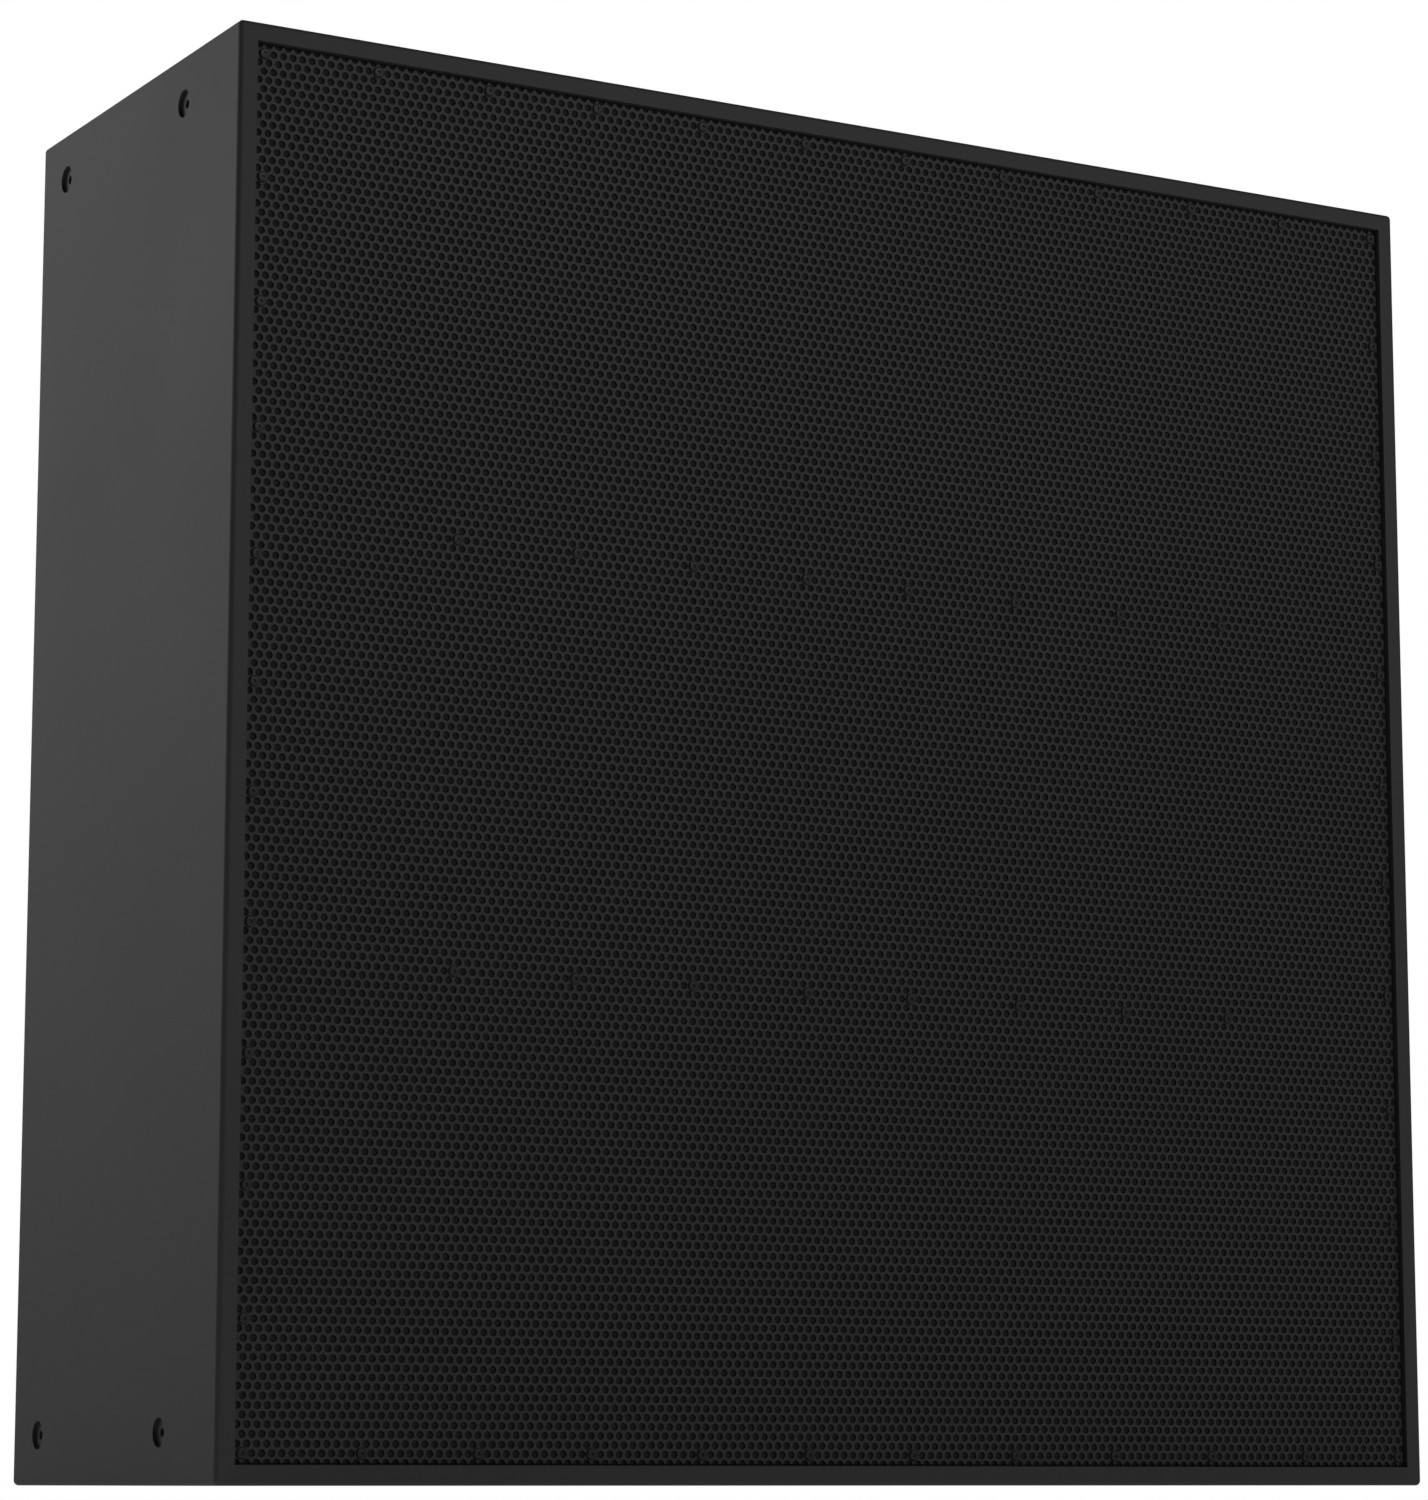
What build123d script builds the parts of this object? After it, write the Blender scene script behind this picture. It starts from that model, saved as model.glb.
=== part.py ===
"""A flat, square, floor-standing subwoofer with a screwed steel grille, in millimetres.

The origin is the middle of the underside, +Z is up and the grille faces -Y. Each sub-part is
one file in parts/. The four woofers are alike, and their pieces carry the numbers 1 to 4.
"""
from build123d import *
import math
import os

# Cabinet
WIDTH = 1100.0
DEPTH = 400.0
HEIGHT = 1100.0
PANEL = 15.0  # plywood of the walls and braces
EDGE_ROUND = 4.0
BAFFLE = 18.0  # plywood that carries the woofers
BAFFLE_INSET = 45.0  # from the front edge of the walls to the baffle
BRACE_RIM = 35.0  # wood left round a brace's window
BRACE_ROUND = 30.0

# Grille
GRILLE_INSET = 4.0
GRILLE_SHEET = 1.5
GRILLE_GAP = 1.5  # slot between the sheet and the walls
CLOTH = 1.0
HOLE_PITCH = 8.0  # staggered perforation
HOLE_DIAMETER = 6.0
BATTEN = 20.0  # width of the strips that the sheet is screwed to
RAIL = 24.0
RAIL_END_GAP = 115.0  # from the end of a rail to the batten beside it
SCREW_MARGIN_X = 7.0  # least distance from a wall to the screws beside it
SCREW_MARGIN_Z = 8.0
RAIL_SCREW_MARGIN = 40.0
EDGE_SCREW_HOLES = 12  # perforations from one screw to the next along the top
SIDE_SCREW_ROWS = 14  # rows of perforations from one screw to the next up the side
RAIL_SCREW_HOLES = 13
SCREW_HEAD = 8.6
SCREW_HEAD_HEIGHT = 1.8
SCREW_SHANK = 4.0
SCREW_LENGTH = 22.0
HEAD_ROUND = 0.6  # share of a screw head's height that is rounded

# Woofer
FRAME_DIAMETER = 318.0
BAY_CLEARANCE = 9.0  # between a woofer's frame and the strips beside it
SEAT_WIDTH = 17.0  # of the frame that lies on the baffle
CUTOUT_CLEARANCE = 2.0
FRAME_FLANGE = 6.0
FRAME_WALL = 3.0
BARREL_DEPTH = 16.0  # behind the baffle's front, where the frame starts to taper
TAPER_STEP = 1.0  # by which the taper's outside starts and ends deeper than its inside
CUP_MARGIN = 9.0  # from the magnet's edge out to the frame's cup
FOOT_MARGIN = 5.0  # from the plate's bore out to the foot's bore
SPIDER_DEPTH = 71.0
FOOT_DEPTH = 100.0
SPIDER_LEDGE = 7.0
SPOKES = 6
WINDOW_WIDTH = 70.0
WINDOW_HEIGHT = 36.0
WINDOW_ROUND = 8.0
GASKET = 2.0
ROLL_RADIUS = 8.5
SURROUND_SKIN = 1.2
SURROUND_LIP = 6.0
CONE_SKIN = 1.5
NECK_DEPTH = 50.0
CAP_DIAMETER = 92.0
CAP_RISE = 12.0
CAP_SKIN = 1.2
CAP_LIP = 3.0  # glued rim of the cap
SPIDER_SKIN = 0.8
SPIDER_WAVE = 2.5
SPIDER_WAVES = 6
SPIDER_COLLAR = 2.5  # flat ring glued to the former
FORMER_RADIUS = 38.1  # inside of the coil former
FORMER_SKIN = 0.4
FORMER_LENGTH = 69.0
FORMER_TAIL = 1.0  # bare former behind the winding
WINDING = 1.6
WINDING_LENGTH = 18.0
COIL_GAP = 0.9  # air each side of the coil in the magnet
TOP_PLATE = 10.0
PLATE_RADIUS = 72.0
MAGNET = 20.0
MAGNET_RADIUS = 85.0
MAGNET_SPACE = 4.0  # from the plate's bore out to the magnet's bore
BACK_PLATE = 12.0
POLE_VENT = 12.0  # radius of the bore down the pole
POLE_PROUD = 2.0  # above the top plate
BOLTS = 8
BOLT_INSET = 9.0
BOLT_DIAMETER = 5.9
BOLT_HEAD = 10.0
BOLT_HEAD_HEIGHT = 6.0
BOLT_KEY = 5.0  # across the flats
BOLT_KEY_DEPTH = 3.0
BOLT_LENGTH = 30.0
BOLT_CLEARANCE = 0.3
NUT_BARREL = 8.0
NUT_BARREL_LENGTH = 9.0
NUT_FLANGE = 19.0
NUT_FLANGE_SKIN = 1.5
TERMINAL = (20.0, 12.0, 10.0)  # across, outwards and along the woofer's axis

# Ports
PORT_COUNT = 4
PORT_BORE = 50.0  # radius
PORT_WALL = 3.0
PORT_FLARE = 15.0
PORT_FLARE_LENGTH = 24.0
PORT_FLANGE = 7.0
PORT_LENGTH = 180.0

# Rigging points
RIGGING_INSET_Z = 39.0
RIGGING_BACK = 52.0
RIGGING_SPACING = 242.0
RIGGING_RECESS = 3.0  # from the wall's face down to the insert's flange
INSERT_FLANGE = 21.5
INSERT_FLANGE_SKIN = 1.5
INSERT_BARREL = 11.0
INSERT_LENGTH = 10.5
INSERT_BORE = 6.8  # M8 thread, at its crests

# Input panel on the back
INPUT_OFFSET = 7.5  # outwards from the axis of the woofers on its side
PLATE_WIDTH = 200.0
PLATE_HEIGHT = 120.0
PLATE_SHEET = 2.0
PLATE_REBATE = 4.5
PLATE_ROUND = 8.0
DISH_MARGIN = 28.0  # from the plate's edge to the dish
DISH_DEPTH = 18.0
SOCKET_SPACING = 62.0
SOCKET_RADIUS = 12.5
SOCKET_BORE = 10.0
SOCKET_DEPTH = 20.0
SOCKET_FLOOR = 4.0
SOCKET_FLANGE = 34.0
SOCKET_FLANGE_SKIN = 3.0
SOCKET_FLANGE_ROUND = 4.0
CONTACTS = 4
CONTACT_WIDTH = 3.0
CONTACT_PROUD = 1.2  # into the socket's bore
CONTACT_ROOT = 0.5  # into the socket's wall
CONTACT_INSET = 2.0  # behind the face of the dish's floor
PLATE_SCREW_INSET = 10.0
PLATE_SCREW_HEAD = 7.0
PLATE_SCREW_HEAD_HEIGHT = 2.0
PLATE_SCREW_SHANK = 3.5
PLATE_SCREW_LENGTH = 12.0

# Leads and lining
LEAD = 5.0
LEAD_REACH = 46.0  # straight out of the sockets
LEAD_RISE = 110.0
LEAD_BEND = 14.0
LEAD_SWEEP = 60.0
LINING = 25.0
LINING_MARGIN = 12.0

CLEARANCE = 0.05  # round a screw's or bolt's thread
RECESS_CLEARANCE = 0.3  # round what is let into a panel
PAST = 1.0  # by which a cutter runs past the face it opens

# Planes and places that follow
FRONT = -DEPTH / 2
BACK = DEPTH / 2
INSIDE_X = WIDTH / 2 - PANEL
INSIDE_TOP = HEIGHT - PANEL
INSIDE_BACK = BACK - PANEL
MIDDLE = HEIGHT / 2
SHEET_FRONT = FRONT + GRILLE_INSET
CLOTH_FRONT = SHEET_FRONT + GRILLE_SHEET
BATTEN_FRONT = CLOTH_FRONT + CLOTH
BAFFLE_FRONT = FRONT + BAFFLE_INSET
BAFFLE_BACK = BAFFLE_FRONT + BAFFLE
CLEAR_X = INSIDE_X - BATTEN
CLEAR_TOP = INSIDE_TOP - BATTEN
ROW_PITCH = HOLE_PITCH * math.sqrt(3) / 2
BRACE_DEPTH = (BAFFLE_BACK, INSIDE_BACK)
BRACE_MIDDLE = sum(BRACE_DEPTH) / 2
BRACE_WINDOW = BRACE_DEPTH[1] - BRACE_DEPTH[0] - 2 * BRACE_RIM

BAY = FRAME_DIAMETER + 2 * BAY_CLEARANCE
RAIL_ROWS = 2 * round((CLEAR_TOP - BAY - RAIL / 2 - MIDDLE) / (2 * ROW_PITCH))
RAIL_OFFSET = RAIL_ROWS * ROW_PITCH
RAIL_HALF_LENGTH = CLEAR_X - RAIL_END_GAP
RAIL_HEIGHTS = (MIDDLE - RAIL_OFFSET, MIDDLE + RAIL_OFFSET)
DRIVER_X = CLEAR_X / 2
DRIVER_OFFSET = (RAIL_OFFSET + RAIL / 2 + CLEAR_TOP - MIDDLE) / 2
DRIVERS = {
    1: (-DRIVER_X, MIDDLE + DRIVER_OFFSET),
    2: (DRIVER_X, MIDDLE + DRIVER_OFFSET),
    3: (-DRIVER_X, MIDDLE - DRIVER_OFFSET),
    4: (DRIVER_X, MIDDLE - DRIVER_OFFSET),
}

FRAME_RADIUS = FRAME_DIAMETER / 2
CUTOUT_RADIUS = FRAME_RADIUS - SEAT_WIDTH
BARREL_RADIUS = CUTOUT_RADIUS - CUTOUT_CLEARANCE
BARREL_BORE = BARREL_RADIUS - FRAME_WALL
BOLT_CIRCLE = FRAME_RADIUS - BOLT_INSET
FLANGE_TOP = GASKET + FRAME_FLANGE
ROLL_MIDDLE = BARREL_BORE - ROLL_RADIUS
CONE_RADIUS = ROLL_MIDDLE - ROLL_RADIUS
CONE_LIP = CONE_RADIUS - SURROUND_LIP
FORMER_OUTSIDE = FORMER_RADIUS + FORMER_SKIN
COIL_OUTSIDE = FORMER_OUTSIDE + WINDING
CONE_SLOPE = (FLANGE_TOP + NECK_DEPTH) / (CONE_LIP - FORMER_OUTSIDE)
CUP_RADIUS = MAGNET_RADIUS + CUP_MARGIN
CUP_BORE = CUP_RADIUS - FRAME_WALL
PLATE_BORE = COIL_OUTSIDE + COIL_GAP
FOOT_BORE = PLATE_BORE + FOOT_MARGIN
GAP_DEPTH = FOOT_DEPTH + TOP_PLATE / 2
MAGNET_DEPTH = FOOT_DEPTH + TOP_PLATE
YOKE_DEPTH = MAGNET_DEPTH + MAGNET

INPUT_X = -DRIVER_X - INPUT_OFFSET
DISH_WIDTH = PLATE_WIDTH - 2 * DISH_MARGIN
DISH_HEIGHT = PLATE_HEIGHT - 2 * DISH_MARGIN
PLATE_FRONT = BACK - PLATE_REBATE  # the face that lies on the panel
PLATE_OUTSIDE = PLATE_FRONT + PLATE_SHEET
DISH_FLOOR = PLATE_OUTSIDE - DISH_DEPTH
SOCKETS = [INPUT_X + side * SOCKET_SPACING / 2 for side in (-1, 1)]
SOCKET_OUTSIDE = DISH_FLOOR + SOCKET_FLANGE_SKIN
SOCKET_END = SOCKET_OUTSIDE - SOCKET_DEPTH - SOCKET_FLOOR


def save(name, shape):
    """Writes one sub-part."""
    export_step(shape, f"parts/{name}.step")


def block(x, y, z):
    """A box between (low, high) limits along each axis."""
    size = [high - low for low, high in (x, y, z)]
    middle = [(high + low) / 2 for low, high in (x, y, z)]
    return Pos(*middle) * Box(*size)


def turned(profile):
    """A profile drawn as radius and height, turned about the Z axis."""
    return revolve(Plane.XZ * profile, Axis.Z)


def lathe(*points):
    """A ring whose section has these corners."""
    return turned(make_face(Polyline(*points, close=True)))


def ring(bore, radius, low, high):
    return lathe((bore, low), (radius, low), (radius, high), (bore, high))


def rod(radius, low, high):
    """A cylinder along Z between two heights."""
    return Pos(0, 0, (low + high) / 2) * Cylinder(radius, high - low)


def facing_front(x, y, z):
    """The place whose own Z points out of the front and whose Y points up."""
    return Pos(x, y, z) * Rot(90, 0, 0)


def facing_back(x, y, z):
    """The place whose own Z points out of the back."""
    return Pos(x, y, z) * Rot(-90, 0, 0)


def around(radius, count, first=0.0):
    """Evenly spaced places on a circle in the XY plane."""
    return [Rot(0, 0, first + 360 * i / count) * Pos(radius, 0, 0) for i in range(count)]


# ---------------------------------------------------------------- grille fixing


def mirrored_steps(outermost, step):
    """Whole numbers either side of 0, from the outermost inwards."""
    return sorted({sign * n for n in range(outermost, -1, -step) for sign in (-1, 1)})


def screw_places():
    """The screws' (x, z), each one in a hole of the perforation."""
    side = int((INSIDE_X - SCREW_MARGIN_X) // HOLE_PITCH)
    top = 2 * int((INSIDE_TOP - MIDDLE - SCREW_MARGIN_Z) // (2 * ROW_PITCH))
    rail = int((RAIL_HALF_LENGTH - RAIL_SCREW_MARGIN) // HOLE_PITCH)
    places = {(k, sign * top) for k in mirrored_steps(side, EDGE_SCREW_HOLES) for sign in (-1, 1)}
    places |= {(sign * side, j) for j in mirrored_steps(top, SIDE_SCREW_ROWS) for sign in (-1, 1)}
    places |= {
        (k, sign * RAIL_ROWS) for k in mirrored_steps(rail, RAIL_SCREW_HOLES) for sign in (-1, 1)
    }
    return [(k * HOLE_PITCH, MIDDLE + j * ROW_PITCH) for k, j in sorted(places)]


SCREWS = screw_places()


def screw_holes(radius, front, back):
    """Rods along Y at every screw, for cutting its holes."""
    bar = rod(radius, front - back, 0)
    return [facing_front(x, front, z) * bar for x, z in SCREWS]


def grille_layer(front, thickness):
    """A sheet the size of the grille, with the screws' holes in it."""
    edge = INSIDE_X - GRILLE_GAP
    sheet = block(
        (-edge, edge),
        (front, front + thickness),
        (PANEL + GRILLE_GAP, INSIDE_TOP - GRILLE_GAP),
    )
    return sheet - screw_holes(HOLE_DIAMETER / 2, front, front + thickness)


def battens():
    """Four strips round the opening and two rails across it."""
    depth = (BATTEN_FRONT, BAFFLE_FRONT)
    rail_x = (-RAIL_HALF_LENGTH, RAIL_HALF_LENGTH)
    strips = [
        block((-INSIDE_X, -CLEAR_X), depth, (PANEL, INSIDE_TOP)),
        block((CLEAR_X, INSIDE_X), depth, (PANEL, INSIDE_TOP)),
        block((-CLEAR_X, CLEAR_X), depth, (PANEL, PANEL + BATTEN)),
        block((-CLEAR_X, CLEAR_X), depth, (CLEAR_TOP, INSIDE_TOP)),
    ]
    strips += [block(rail_x, depth, (z - RAIL / 2, z + RAIL / 2)) for z in RAIL_HEIGHTS]
    screw_end = SHEET_FRONT + SCREW_LENGTH
    holes = screw_holes(SCREW_SHANK / 2 + CLEARANCE, BATTEN_FRONT, screw_end)
    return Compound([strip - holes for strip in strips])


def grille_screw():
    """One pan-headed screw, its Z along the shank and out of the head."""
    head = rod(SCREW_HEAD / 2, 0, SCREW_HEAD_HEIGHT)
    head = fillet(head.edges().group_by(Axis.Z)[-1], HEAD_ROUND * SCREW_HEAD_HEIGHT)
    return head + rod(SCREW_SHANK / 2, -SCREW_LENGTH, 0)


# ---------------------------------------------------------------- cabinet

whole = Pos(0, 0, MIDDLE) * Box(WIDTH, DEPTH, HEIGHT)
whole = fillet(whole.edges(), EDGE_ROUND)


def insert_places(side):
    """The rigging points of one side, each with its Z out of that wall."""
    rows = (RIGGING_INSET_Z, HEIGHT - RIGGING_INSET_Z)
    columns = (BACK - RIGGING_BACK, BACK - RIGGING_BACK - RIGGING_SPACING)
    return [Pos(side * WIDTH / 2, y, z) * Rot(0, side * 90, 0) for y in columns for z in rows]


def side_panel(side):
    inner, outer = sorted((side * INSIDE_X, side * WIDTH / 2))
    wall = whole & block((inner, outer), (FRONT, BACK), (0, HEIGHT))
    bottom = -(RIGGING_RECESS + INSERT_LENGTH + CLEARANCE)
    seat = -(RIGGING_RECESS + INSERT_FLANGE_SKIN)
    cut = rod(INSERT_FLANGE / 2 + RECESS_CLEARANCE, seat, PAST)
    cut += rod(INSERT_BARREL / 2, bottom, seat)
    return wall - [place * cut for place in insert_places(side)]


def rigging_insert():
    """A flanged threaded insert, its top sunk below the wall."""
    top = -RIGGING_RECESS
    seat = top - INSERT_FLANGE_SKIN
    bottom = top - INSERT_LENGTH
    return lathe(
        (INSERT_BORE / 2, top),
        (INSERT_FLANGE / 2, top),
        (INSERT_FLANGE / 2, seat),
        (INSERT_BARREL / 2, seat),
        (INSERT_BARREL / 2, bottom),
        (INSERT_BORE / 2, bottom),
    )


def level_panel(low, high):
    return whole & block((-INSIDE_X, INSIDE_X), (FRONT, BACK), (low, high))


def plate_screw_places():
    across = PLATE_WIDTH / 2 - PLATE_SCREW_INSET
    up = PLATE_HEIGHT / 2 - PLATE_SCREW_INSET
    return [(INPUT_X + i * across, MIDDLE + j * up) for i in (-1, 0, 1) for j in (-1, 1)]


def rounded_bar(width, height, corner, low, high):
    """A bar along Y with a rounded section, centred on the input plate."""
    bar = extrude(RectangleRounded(width, height, corner), high - low)
    return facing_back(INPUT_X, low, MIDDLE) * bar


def back_panel():
    wall = block((-INSIDE_X, INSIDE_X), (INSIDE_BACK, BACK), (PANEL, INSIDE_TOP))
    fit = 2 * RECESS_CLEARANCE
    rebate = rounded_bar(
        PLATE_WIDTH + fit, PLATE_HEIGHT + fit, PLATE_ROUND, PLATE_FRONT, BACK + PAST
    )
    opening = rounded_bar(
        DISH_WIDTH + fit, DISH_HEIGHT + fit, PLATE_ROUND, INSIDE_BACK - PAST, PLATE_FRONT + PAST
    )
    screw_end = PLATE_OUTSIDE - PLATE_SCREW_LENGTH
    pilot = rod(PLATE_SCREW_SHANK / 2 + CLEARANCE, screw_end - PLATE_FRONT, 0)
    pilots = [facing_back(x, PLATE_FRONT, z) * pilot for x, z in plate_screw_places()]
    return wall - [rebate, opening] - pilots


def bolt_spots():
    """A woofer's bolts, as places on its front."""
    return around(BOLT_CIRCLE, BOLTS, 180 / BOLTS)


def front_baffle():
    wall = block((-INSIDE_X, INSIDE_X), (BAFFLE_FRONT, BAFFLE_BACK), (PANEL, INSIDE_TOP))
    opening = rod(CUTOUT_RADIUS, -BAFFLE, 0)
    bolt_hole = rod(NUT_BARREL / 2, -BAFFLE, 0)
    port_hole = rod(PORT_BORE + PORT_FLARE + PORT_WALL, -BAFFLE, 0)
    for x, z in DRIVERS.values():
        place = facing_front(x, BAFFLE_FRONT, z)
        wall -= place * opening
        wall -= [place * spot * bolt_hole for spot in bolt_spots()]
    return wall - [place * port_hole for place in port_places()]


def brace_window(plane, width, height, centre):
    """A rounded bar that cuts one window through a brace lying in a plane."""
    outline = plane * RectangleRounded(width, height, BRACE_ROUND)
    return Pos(*centre) * extrude(outline, PANEL, both=True)


def level_brace(z):
    """A board from side to side, with a window each side of the middle."""
    board = block((-INSIDE_X, INSIDE_X), BRACE_DEPTH, (z - PANEL / 2, z + PANEL / 2))
    window_x = INSIDE_X - 2 * BRACE_RIM
    places = [(side * INSIDE_X / 2, BRACE_MIDDLE, z) for side in (-1, 1)]
    return board - [brace_window(Plane.XY, window_x, BRACE_WINDOW, place) for place in places]


def upright_braces():
    """Three boards on the middle line, above, between and below the level braces."""
    lower, upper = RAIL_HEIGHTS
    half = PANEL / 2
    spans = [(PANEL, lower - half), (lower + half, upper - half), (upper + half, INSIDE_TOP)]
    boards = []
    for low, high in spans:
        board = block((-half, half), BRACE_DEPTH, (low, high))
        centre = (0, BRACE_MIDDLE, (low + high) / 2)
        board -= brace_window(Plane.YZ, BRACE_WINDOW, high - low - 2 * BRACE_RIM, centre)
        boards.append(board)
    return Compound(boards)


# ---------------------------------------------------------------- ports


def port_places():
    step = 2 * CLEAR_X / PORT_COUNT
    return [
        facing_front(-CLEAR_X + (i + 0.5) * step, BAFFLE_FRONT, MIDDLE) for i in range(PORT_COUNT)
    ]


def port_tube():
    """A flared tube with a thin flange that lies on the baffle."""
    mouth = PORT_BORE + PORT_FLARE
    outside = PORT_BORE + PORT_WALL
    flare_end = PORT_WALL - PORT_FLARE_LENGTH
    halfway = math.sqrt(0.5)
    between = (mouth - halfway * PORT_FLARE, flare_end + halfway * PORT_FLARE_LENGTH)
    edges = [
        ThreePointArc((PORT_BORE, flare_end), between, (mouth, PORT_WALL)),
        Polyline(
            (mouth, PORT_WALL),
            (mouth + PORT_WALL + PORT_FLANGE, PORT_WALL),
            (mouth + PORT_WALL + PORT_FLANGE, 0),
            (mouth + PORT_WALL, 0),
            (outside, flare_end),
            (outside, -PORT_LENGTH),
            (PORT_BORE, -PORT_LENGTH),
            (PORT_BORE, flare_end),
        ),
    ]
    return turned(make_face(edges))


# ---------------------------------------------------------------- woofer
# Each piece has its Z out of the front, from the baffle's front face.


def gasket():
    disc = ring(CUTOUT_RADIUS, FRAME_RADIUS, 0, GASKET)
    hole = rod(BOLT_DIAMETER / 2 + BOLT_CLEARANCE, 0, GASKET)
    return disc - [spot * hole for spot in bolt_spots()]


def basket():
    """The cast frame: flange, barrel, spokes, spider ledge and foot."""
    ledge = CUP_BORE - SPIDER_LEDGE
    frame = lathe(
        (BARREL_BORE, FLANGE_TOP),
        (FRAME_RADIUS, FLANGE_TOP),
        (FRAME_RADIUS, GASKET),
        (BARREL_RADIUS, GASKET),
        (BARREL_RADIUS, -BARREL_DEPTH),
        (CUP_RADIUS, -SPIDER_DEPTH - TAPER_STEP),
        (CUP_RADIUS, -FOOT_DEPTH),
        (FOOT_BORE, -FOOT_DEPTH),
        (FOOT_BORE, -FOOT_DEPTH + FRAME_WALL),
        (CUP_BORE, -FOOT_DEPTH + FRAME_WALL),
        (CUP_BORE, -SPIDER_DEPTH - FRAME_WALL),
        (ledge, -SPIDER_DEPTH - FRAME_WALL),
        (ledge, -SPIDER_DEPTH),
        (CUP_BORE, -SPIDER_DEPTH),
        (BARREL_BORE, TAPER_STEP - BARREL_DEPTH),
    )
    hole = rod(BOLT_DIAMETER / 2 + BOLT_CLEARANCE, GASKET, FLANGE_TOP)
    frame -= [spot * hole for spot in bolt_spots()]
    outline = RectangleRounded(WINDOW_WIDTH, WINDOW_HEIGHT, WINDOW_ROUND)
    middle = -(BARREL_DEPTH + SPIDER_DEPTH) / 2
    window = Pos(ledge, 0, middle) * extrude(Plane.YZ * outline, BARREL_RADIUS)
    return frame - [Rot(0, 0, 360 * i / SPOKES) * window for i in range(SPOKES)]


def surround():
    """The rubber half roll between the frame and the cone."""
    skin = SURROUND_SKIN / 2
    roll = Pos(ROLL_MIDDLE, FLANGE_TOP) * (Circle(ROLL_RADIUS + skin) - Circle(ROLL_RADIUS - skin))
    above = Pos(ROLL_MIDDLE, FLANGE_TOP + ROLL_RADIUS) * Rectangle(4 * ROLL_RADIUS, 2 * ROLL_RADIUS)
    lip = Rectangle(SURROUND_LIP, SURROUND_SKIN, align=(Align.MIN, Align.MIN))
    outer = Pos(BARREL_BORE, FLANGE_TOP) * lip
    inner = Pos(CONE_LIP, FLANGE_TOP) * lip
    return turned((roll & above) + outer + inner)


def on_cone(radius):
    """The height of the cone's front face at a radius."""
    return -NECK_DEPTH + CONE_SLOPE * (radius - FORMER_OUTSIDE)


def cone():
    drop = CONE_SKIN * math.hypot(1, CONE_SLOPE)
    lip_back = CONE_LIP + (drop - CONE_SKIN) / CONE_SLOPE
    return lathe(
        (FORMER_OUTSIDE, -NECK_DEPTH),
        (CONE_LIP, FLANGE_TOP),
        (CONE_RADIUS, FLANGE_TOP),
        (CONE_RADIUS, FLANGE_TOP - CONE_SKIN),
        (lip_back, FLANGE_TOP - CONE_SKIN),
        (FORMER_OUTSIDE, -NECK_DEPTH - drop),
    )


def dome(rim_radius, rim_height, rise):
    """A quarter section of a shallow dome, from its rim to the axis."""
    sphere = (rim_radius**2 + rise**2) / (2 * rise)
    half = math.asin(rim_radius / sphere) / 2
    centre = rim_height + rise - sphere
    between = (sphere * math.sin(half), centre + sphere * math.cos(half))
    return ThreePointArc((rim_radius, rim_height), between, (0, rim_height + rise))


def dust_cap():
    outer = CAP_DIAMETER / 2
    inner = outer - CAP_LIP
    top = on_cone(outer) + CAP_RISE
    edges = [
        dome(outer, on_cone(outer), CAP_RISE),
        Line((0, top), (0, top - CAP_SKIN)),
        dome(inner, on_cone(inner), top - CAP_SKIN - on_cone(inner)),
        Line((inner, on_cone(inner)), (outer, on_cone(outer))),
    ]
    return turned(make_face(edges))


def spider():
    """The corrugated disc that centres the coil."""
    ledge = CUP_BORE - SPIDER_LEDGE
    collar = FORMER_OUTSIDE + SPIDER_COLLAR
    step = (ledge - collar) / (2 * SPIDER_WAVES)
    top = [(FORMER_OUTSIDE, 0), (collar, 0)]
    for i in range(2 * SPIDER_WAVES):
        side = 1 if i % 2 == 0 else -1
        top.append((collar + (i + 0.5) * step, side * SPIDER_WAVE))
    top += [(ledge, 0), (CUP_BORE, 0)]
    section = top + [(radius, height - SPIDER_SKIN) for radius, height in reversed(top)]
    return Pos(0, 0, SPIDER_SKIN - SPIDER_DEPTH) * lathe(*section)


def voice_coil():
    """The former with its winding, standing in the magnet's gap."""
    low = -GAP_DEPTH - WINDING_LENGTH / 2
    tail = low - FORMER_TAIL
    top = tail + FORMER_LENGTH
    return lathe(
        (FORMER_RADIUS, top),
        (FORMER_OUTSIDE, top),
        (FORMER_OUTSIDE, low + WINDING_LENGTH),
        (COIL_OUTSIDE, low + WINDING_LENGTH),
        (COIL_OUTSIDE, low),
        (FORMER_OUTSIDE, low),
        (FORMER_OUTSIDE, tail),
        (FORMER_RADIUS, tail),
    )


def top_plate():
    return ring(PLATE_BORE, PLATE_RADIUS, -MAGNET_DEPTH, -FOOT_DEPTH)


def magnet():
    return ring(PLATE_BORE + MAGNET_SPACE, MAGNET_RADIUS, -YOKE_DEPTH, -MAGNET_DEPTH)


def yoke():
    """The back plate and the vented pole in one piece."""
    pole = FORMER_RADIUS - COIL_GAP
    pole_top = POLE_PROUD - FOOT_DEPTH
    back = -YOKE_DEPTH - BACK_PLATE
    return lathe(
        (POLE_VENT, pole_top),
        (pole, pole_top),
        (pole, -YOKE_DEPTH),
        (PLATE_RADIUS, -YOKE_DEPTH),
        (PLATE_RADIUS, back),
        (POLE_VENT, back),
    )


def driver_bolt():
    head = rod(BOLT_HEAD / 2, 0, BOLT_HEAD_HEIGHT)
    key = extrude(RegularPolygon(BOLT_KEY / 2, 6, major_radius=False), BOLT_KEY_DEPTH)
    head -= Pos(0, 0, BOLT_HEAD_HEIGHT - BOLT_KEY_DEPTH) * key
    return Pos(0, 0, FLANGE_TOP) * (head + rod(BOLT_DIAMETER / 2, -BOLT_LENGTH, 0))


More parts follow.
